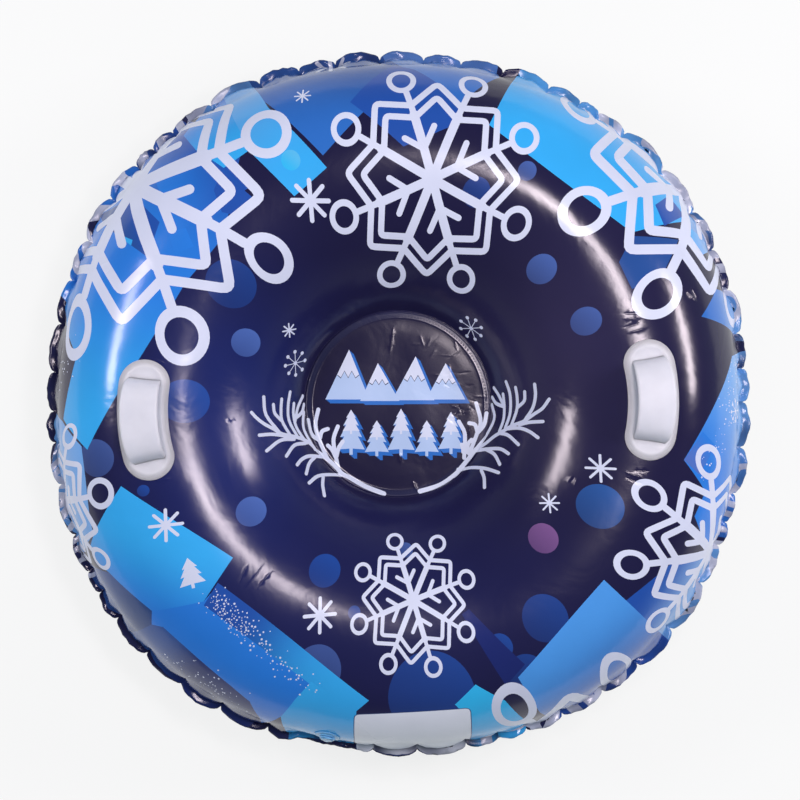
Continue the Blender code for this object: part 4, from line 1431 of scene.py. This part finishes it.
class SnowTubePrint(bpy.types.PropertyGroup):
    ground: colour_property("Ground", "Navy ground of the print", (0.0140, 0.0130, 0.0540))
    # This colour is one block's deep blue and also the painted sheen on the ground left of the well
    deep: colour_property("Deep Blue", "Bluer part of the ground", (0.0140, 0.0260, 0.1600))
    # Painted reflection on the ground right of the well
    plum: colour_property("Plum", "Plum part of the ground", (0.0340, 0.0300, 0.0860))
    night: colour_property("Night", "Darkest band low on the left", (0.0100, 0.0260, 0.1500))
    # Greyer ground of the seat's floor, partly a painted sheen of its wrinkled film
    floor: colour_property("Floor", "Greyer ground of the seat's floor", (0.0165, 0.0150, 0.0490))
    # Painted sheen: the lighter ring of the floor's weld
    weld: colour_property("Weld", "Milky ring of the floor's weld", (0.0240, 0.0280, 0.0800))
    halo: colour_property("Halo", "Pale disc on a block", (0.110, 0.560, 0.920))
    jay: colour_property("Jay Blue", "Greyer blue block low on the right", (0.080, 0.360, 0.880))
    ice: colour_property("Ice White", "Flakes, stars and sprigs", (0.700, 0.785, 0.960))
    frost: colour_property("Frost", "Pale blue under the snow caps", (0.470, 0.640, 0.920))
    sky: colour_property("Sky", "Lightest blocks", (0.040, 0.460, 0.960))
    cyan: colour_property("Cyan", "Cyan corner", (0.036, 0.540, 0.960))
    azure: colour_property("Azure", "Strong blue of the blocks", (0.024, 0.225, 0.780))
    mid: colour_property("Mid Blue", "Middle blue of the blocks", (0.030, 0.175, 0.600))
    dusk: colour_property("Dusk", "Blue of the blocks near the seam at the top", (0.024, 0.090, 0.330))
    royal: colour_property("Royal", "Dark blue of the blocks and discs", (0.018, 0.092, 0.430))
    violet: colour_property("Violet", "Violet blue of the discs", (0.088, 0.185, 0.560))
    rose: colour_property("Rose", "The one rosy disc", (0.250, 0.120, 0.340))
    pale: colour_property("Pale Blue", "Blocks near the seam", (0.160, 0.430, 0.880))
    haze: colour_property("Haze", "Greyed blue at the seam", (0.100, 0.240, 0.600))
    slate: colour_property("Slate", "Grey blue at the seam and the panel's border", (0.014, 0.056, 0.210))
    panel: colour_property("Panel", "The pale bare panel", (0.820, 0.900, 1.0))
    # This colour is both the thin printed lines under the snow and the painted shade on the seam's margin
    ink_and_shade: colour_property("Ink", "Thin lines under the snow and the dark margin", (0.014, 0.022, 0.090))


class SnowTubeHandles(bpy.types.PropertyGroup):
    colour: colour_property("Colour", "Milky white of the moulding", (0.740, 0.790, 0.870))
    border: length_property("Border", "Height of the plate's border bead", 0.0007)
    dish: length_property("Dish", "Depth of the dish in the grip", 0.0008)
    flare: length_property("Flare", "How far the grip's feet flare", 0.0022)


class SnowTubeValve(bpy.types.PropertyGroup):
    colour: colour_property("Colour", "Blue of the valve", (0.180, 0.520, 0.880))
    strap: length_property("Strap", "Thickness of the plug's strap", 0.0016)
    strap_points: IntProperty(name="Strap Points", description="Points along the strap", default=25, min=9)


class SnowTubeStage(bpy.types.PropertyGroup):
    floor: colour_property("Floor", "Colour of the floor", (0.860, 0.935, 0.905))
    glow: factor_property("Floor Glow", "How much of the floor's white the camera sees for itself", 0.80)
    camera_height: length_property("Camera Height", "Height of the camera over the floor", 2.6)
    lamps: FloatProperty(name="Lamps", description="Brightness of the softboxes", default=21.5)
    room: FloatProperty(name="Room", description="Light from the ceiling", default=0.34)
    walls: FloatProperty(name="Walls", description="How bright the walls look in the film's gloss", default=0.28)


# Operators, one for each piece or group of like pieces


# The print's slots: material and how much rougher it is at both ends of its range
PRINT_GLOSS = {
    "ground": ("film_ground", 1, 1),
    "block": ("film_blocks", 1, 1),
    "glow": ("film_glows", 1, 1),
    "shade": ("film_shades", 1, 1),
    "ice": ("film_ice", 1.2, 1.25),
    "panel": ("film_panel", 1.6, 1.6),
}


class SNOWTUBE_OT_top_film(bpy.types.Operator):
    """Build the printed top film"""

    bl_idname = "snowtube.top_film"
    bl_label = "Top Film"

    def execute(self, context):
        film = context.scene.snow_tube_film
        slots = {}
        for slot, (name, low, high) in PRINT_GLOSS.items():
            slots[slot] = finished(name, PRINTED, film.roughness * 0.8 * low, film.roughness * 1.35 * high)
        piece = film_object("printed_top_film", 1, film, print_layout(), slots)
        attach(piece, "tube")
        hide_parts("top_sheet")
        return {"FINISHED"}


class SNOWTUBE_OT_base_film(bpy.types.Operator):
    """Build the plain base film"""

    bl_idname = "snowtube.base_film"
    bl_label = "Base Film"

    def execute(self, context):
        film = context.scene.snow_tube_film
        slots = {"ground": finished("film_base", PLAIN, 0.28, 0.42, film.base)}
        piece = film_object("plain_base_film", -1, film, Layout(), slots)
        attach(piece, "tube")
        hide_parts("bottom_sheet")
        return {"FINISHED"}


class SNOWTUBE_OT_handles(bpy.types.Operator):
    """Build both soft handles"""

    bl_idname = "snowtube.handles"
    bl_label = "Handles"

    def execute(self, context):
        handle = context.scene.snow_tube_handles
        material = moulding("handle_vinyl", handle.colour, 0.42, 0.54, 0.80)
        arc = float(np.interp(CROWN_R + HANDLE_OUT, RADIUS, ARC))
        for node, azimuth in HANDLE_AZIMUTHS.items():
            shells = (plate_shell(handle), grip_shell(handle))
            piece = bent_object("soft_" + node, shells, Seat(azimuth, arc), material)
            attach(piece, "tube")
            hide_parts(node)
        return {"FINISHED"}


class SNOWTUBE_OT_valve(bpy.types.Operator):
    """Finish the valve and build its strap"""

    bl_idname = "snowtube.valve"
    bl_label = "Valve"

    def execute(self, context):
        valve = context.scene.snow_tube_valve
        material = moulding("valve_vinyl", valve.colour, 0.24, 0.34, 0.15)
        for node in ("valve_flange", "valve_stem", "valve_plug", "valve_flap"):
            carried_over(node, material)
        path = strap_path(valve)
        piece = strap_object(path, valve, material)
        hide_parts("valve_tether")
        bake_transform(piece)
        return {"FINISHED"}


def strap_path(valve):
    """Points from the side of the stem's lip, out in a loop and in to the rim of the plug's head."""
    frame_at = Seat(VALVE_AZIMUTH, WELD_ARC - VALVE_RISE).frame()
    half = valve.strap / 2
    start_r = STEM_LIP_R + PART_GAP + half
    end_r = PLUG_HEAD_R + PART_GAP + half
    found = []
    for share in np.linspace(0.0, 1.0, valve.strap_points):
        angle = math.radians(STRAP_TURN[0] + (STRAP_TURN[1] - STRAP_TURN[0]) * share)
        radius = start_r + (end_r - start_r) * share**3 + STRAP_BULGE * math.sin(math.pi * share)
        low, high = LIP_TOP - LIP_HEIGHT / 2, HEAD_LOW + half
        height = low + (high - low) * float(smooth(share * STRAP_CLIMB))
        found.append(frame_at @ Vector((radius * math.cos(angle), radius * math.sin(angle), height)))
    return found


def strap_object(path, valve, material):
    """A thin strap swept along its path, a little flattened."""
    sides = STRAP_SIDES
    up = Seat(VALVE_AZIMUTH, WELD_ARC - VALVE_RISE).frame().col[2].to_3d()
    verts = []
    for index, point in enumerate(path):
        along = (path[min(index + 1, len(path) - 1)] - path[max(index - 1, 0)]).normalized()
        aside = along.cross(up).normalized()
        over = aside.cross(along).normalized()
        for k in range(sides):
            angle = math.tau * k / sides
            offset = aside * math.cos(angle) * valve.strap * STRAP_FLATNESS + over * math.sin(angle) * valve.strap * 0.5
            verts.append(point + offset)
    faces = bridged(len(path), sides, turned=True)
    faces.append(tuple(range(sides)))
    faces.append(tuple(range(len(verts) - 1, len(verts) - sides - 1, -1)))
    return mesh_object("plug_strap", verts, faces, material)


FLOOR_HALF = 9
FLOOR_DROP = 0.0004
# Softboxes: name, degrees away from the zenith and round it, distance, size away from the zenith and round it,
# brightness and roll in degrees
SOFTBOXES = (
    ("softbox_over", 18, 36, 2.2, (0.27, 0.56), 1.0, 0),
    ("softbox_over_right", 14.6, 15.5, 2.16, (0.26, 0.30), 1.05, -72),
    ("softbox_over_back", 15.5, 60.0, 2.16, (0.25, 0.22), 1.0, 60),
    ("softbox_right", 59, 13, 2.2, (0.25, 0.72), 1.35, 0),
    ("softbox_left", 51.5, 165, 2.2, (0.28, 0.80), 1.0, 0),
)
LAMP_COLOUR = (1.0, 0.870, 0.930)
LAMP_AIM = 0.2


class SNOWTUBE_OT_stage(bpy.types.Operator):
    """Build the floor, the lamps, the room and the camera"""

    bl_idname = "snowtube.stage"
    bl_label = "Stage"

    def execute(self, context):
        stage = context.scene.snow_tube_stage
        scene = context.scene
        scene.view_settings.view_transform = "Standard"
        corners = [(x * FLOOR_HALF, y * FLOOR_HALF, 0) for x, y in ((-1, -1), (1, -1), (1, 1), (-1, 1))]
        floor = mesh_object("studio_floor", corners, [(0, 1, 2, 3)], floor_paint(stage))
        floor.location.z = -FLOOR_DROP
        for name, *place, share, roll_deg in SOFTBOXES:
            softbox(name, *place, stage.lamps * share, roll_deg)
        room_light(scene, stage)
        add_camera(scene, stage.camera_height)
        return {"FINISHED"}


def floor_paint(stage):
    """Matt studio paper, which the camera, gloss and glass see nearer to white than it is lit."""
    material = bpy.data.materials.new("studio_paper")
    material.use_nodes = True
    tree = material.node_tree
    shader = tree.nodes["Principled BSDF"]
    colour = tinted(tree, plain_colour(tree, stage.floor), 0.006, 3.0)
    set_inputs(tree, shader, {"Base Color": colour, "Roughness": 0.9, "Specular IOR Level": 0.1})
    white = add_node(tree, "ShaderNodeEmission").outputs[0]
    rays = looked_at(tree, "Is Camera Ray", "Is Glossy Ray", "Is Transmission Ray")
    share = add_node(tree, "ShaderNodeMath", {0: rays, 1: stage.glow}, operation="MULTIPLY").outputs[0]
    both = add_node(tree, "ShaderNodeMixShader", {0: share, 1: shader.outputs[0], 2: white}).outputs[0]
    set_inputs(tree, tree.nodes["Material Output"], {"Surface": both})
    return material


def looked_at(tree, *kinds):
    """1 for the kinds of ray named, 0 for light."""
    path = add_node(tree, "ShaderNodeLightPath")
    found = path.outputs[kinds[0]]
    for kind in kinds[1:]:
        found = add_node(tree, "ShaderNodeMath", {0: found, 1: path.outputs[kind]}, operation="MAXIMUM").outputs[0]
    return found


def softbox(name, tilt_deg, azimuth_deg, distance, size, brightness, roll_deg):
    """An area lamp that looks at the tube. Its size is first away from the zenith, then round it."""
    deep, wide = size
    lamp = bpy.data.lights.new(name, "AREA")
    lamp.shape = "RECTANGLE"
    lamp.size = wide
    lamp.size_y = deep
    lamp.energy = brightness * math.pi * wide * deep
    lamp.color = LAMP_COLOUR
    obj = bpy.data.objects.new(name, lamp)
    tilt, azimuth = math.radians(tilt_deg), math.radians(azimuth_deg)
    way = Vector((math.sin(tilt) * math.cos(azimuth), math.sin(tilt) * math.sin(azimuth), math.cos(tilt)))
    aside = Vector((-math.sin(azimuth), math.cos(azimuth), 0.0))
    axes = Matrix((aside, way.cross(aside), way)).transposed().to_4x4()
    place = Matrix.Translation(way * distance + Vector((0, 0, LAMP_AIM)))
    obj.matrix_world = place @ axes @ Matrix.Rotation(math.radians(roll_deg), 4, "Z")
    bpy.context.scene.collection.objects.link(obj)


# The room: levels between which it changes and its brightness there. The ceiling's is a share of the setting
CEILING = ((0.0, 0.9), (0.30, 1.0))
WALLS = ((0.04, 0.50), 0.05)
ROOM_COLOUR = (0.86, 0.93, 1.0, 1.0)


def room_light(scene, stage):
    """A dim room: light from its ceiling, walls that show in gloss low down, white where the camera looks."""
    world = bpy.data.worlds.new("studio_room")
    world.use_nodes = True
    tree = world.node_tree
    tree.nodes.clear()
    way = add_node(tree, "ShaderNodeTexCoord").outputs["Generated"]
    height = add_node(tree, "ShaderNodeSeparateXYZ", {0: way}).outputs["Z"]
    levels, shares = CEILING
    ceiling = ranged(tree, height, levels, [share * stage.room for share in shares], interpolation_type="SMOOTHSTEP")
    levels, above = WALLS
    walls = ranged(tree, height, levels, (stage.walls, above), interpolation_type="SMOOTHSTEP")
    strength = add_node(tree, "ShaderNodeMix", {"Factor": looked_at(tree, "Is Glossy Ray"), "A": ceiling, "B": walls})
    inputs = {"Color": ROOM_COLOUR, "Strength": strength.outputs["Result"]}
    room = add_node(tree, "ShaderNodeBackground", inputs).outputs[0]
    backdrop = add_node(tree, "ShaderNodeBackground").outputs[0]
    seen = looked_at(tree, "Is Camera Ray", "Is Transmission Ray")
    both = add_node(tree, "ShaderNodeMixShader", {0: seen, 1: room, 2: backdrop}).outputs[0]
    add_node(tree, "ShaderNodeOutputWorld", {"Surface": both})
    scene.world = world


# The photo: metres to a pixel at the seam, its width, and where the tube's middle is off its own, in pixels
PHOTO_PIXEL = 0.001322
PHOTO_WIDTH = 800
PHOTO_OFF = (2, 4)


def add_camera(scene, height):
    """The photo's place: straight above, with the tube's middle a little low and left in the frame."""
    camera = bpy.data.cameras.new("camera")
    camera.sensor_width = 36.0
    camera.lens = camera.sensor_width * (height - MID_Z) / (PHOTO_WIDTH * PHOTO_PIXEL)
    camera.clip_end = 100.0
    obj = bpy.data.objects.new("camera", camera)
    obj.location = (PHOTO_OFF[0] * PHOTO_PIXEL, PHOTO_OFF[1] * PHOTO_PIXEL, height)
    scene.collection.objects.link(obj)
    scene.camera = obj


class SNOWTUBE_PT_sidebar(bpy.types.Panel):
    """Sizes, colours and steps of the snow tube"""

    bl_label = "Snow Tube"
    bl_idname = "SNOWTUBE_PT_sidebar"
    bl_space_type = "VIEW_3D"
    bl_region_type = "UI"
    bl_category = "Snow Tube"

    def draw(self, context):
        layout = self.layout
        for group, operators in STEPS_IN_PANEL:
            box = layout.box()
            settings = getattr(context.scene, group)
            for name in settings.__annotations__:
                box.prop(settings, name)
            for operator in operators:
                box.operator(operator)


GROUPS = {
    "snow_tube_film": SnowTubeFilm,
    "snow_tube_print": SnowTubePrint,
    "snow_tube_handles": SnowTubeHandles,
    "snow_tube_valve": SnowTubeValve,
    "snow_tube_stage": SnowTubeStage,
}
OPERATORS = (SNOWTUBE_OT_stage, SNOWTUBE_OT_top_film, SNOWTUBE_OT_base_film, SNOWTUBE_OT_handles, SNOWTUBE_OT_valve)
STEPS_IN_PANEL = (
    ("snow_tube_film", ("snowtube.top_film", "snowtube.base_film")),
    ("snow_tube_print", ()),
    ("snow_tube_handles", ("snowtube.handles",)),
    ("snow_tube_valve", ("snowtube.valve",)),
    ("snow_tube_stage", ("snowtube.stage",)),
)


def register():
    for name, group in GROUPS.items():
        bpy.utils.register_class(group)
        setattr(bpy.types.Scene, name, PointerProperty(type=group))
    for operator in OPERATORS:
        bpy.utils.register_class(operator)
    bpy.utils.register_class(SNOWTUBE_PT_sidebar)


def unregister():
    bpy.utils.unregister_class(SNOWTUBE_PT_sidebar)
    for operator in reversed(OPERATORS):
        bpy.utils.unregister_class(operator)
    for name, group in reversed(GROUPS.items()):
        delattr(bpy.types.Scene, name)
        bpy.utils.unregister_class(group)


def main():
    register()
    bpy.ops.snowtube.stage()
    bpy.ops.snowtube.top_film()
    bpy.ops.snowtube.base_film()
    bpy.ops.snowtube.handles()
    bpy.ops.snowtube.valve()


if __name__ == "__main__":
    main()
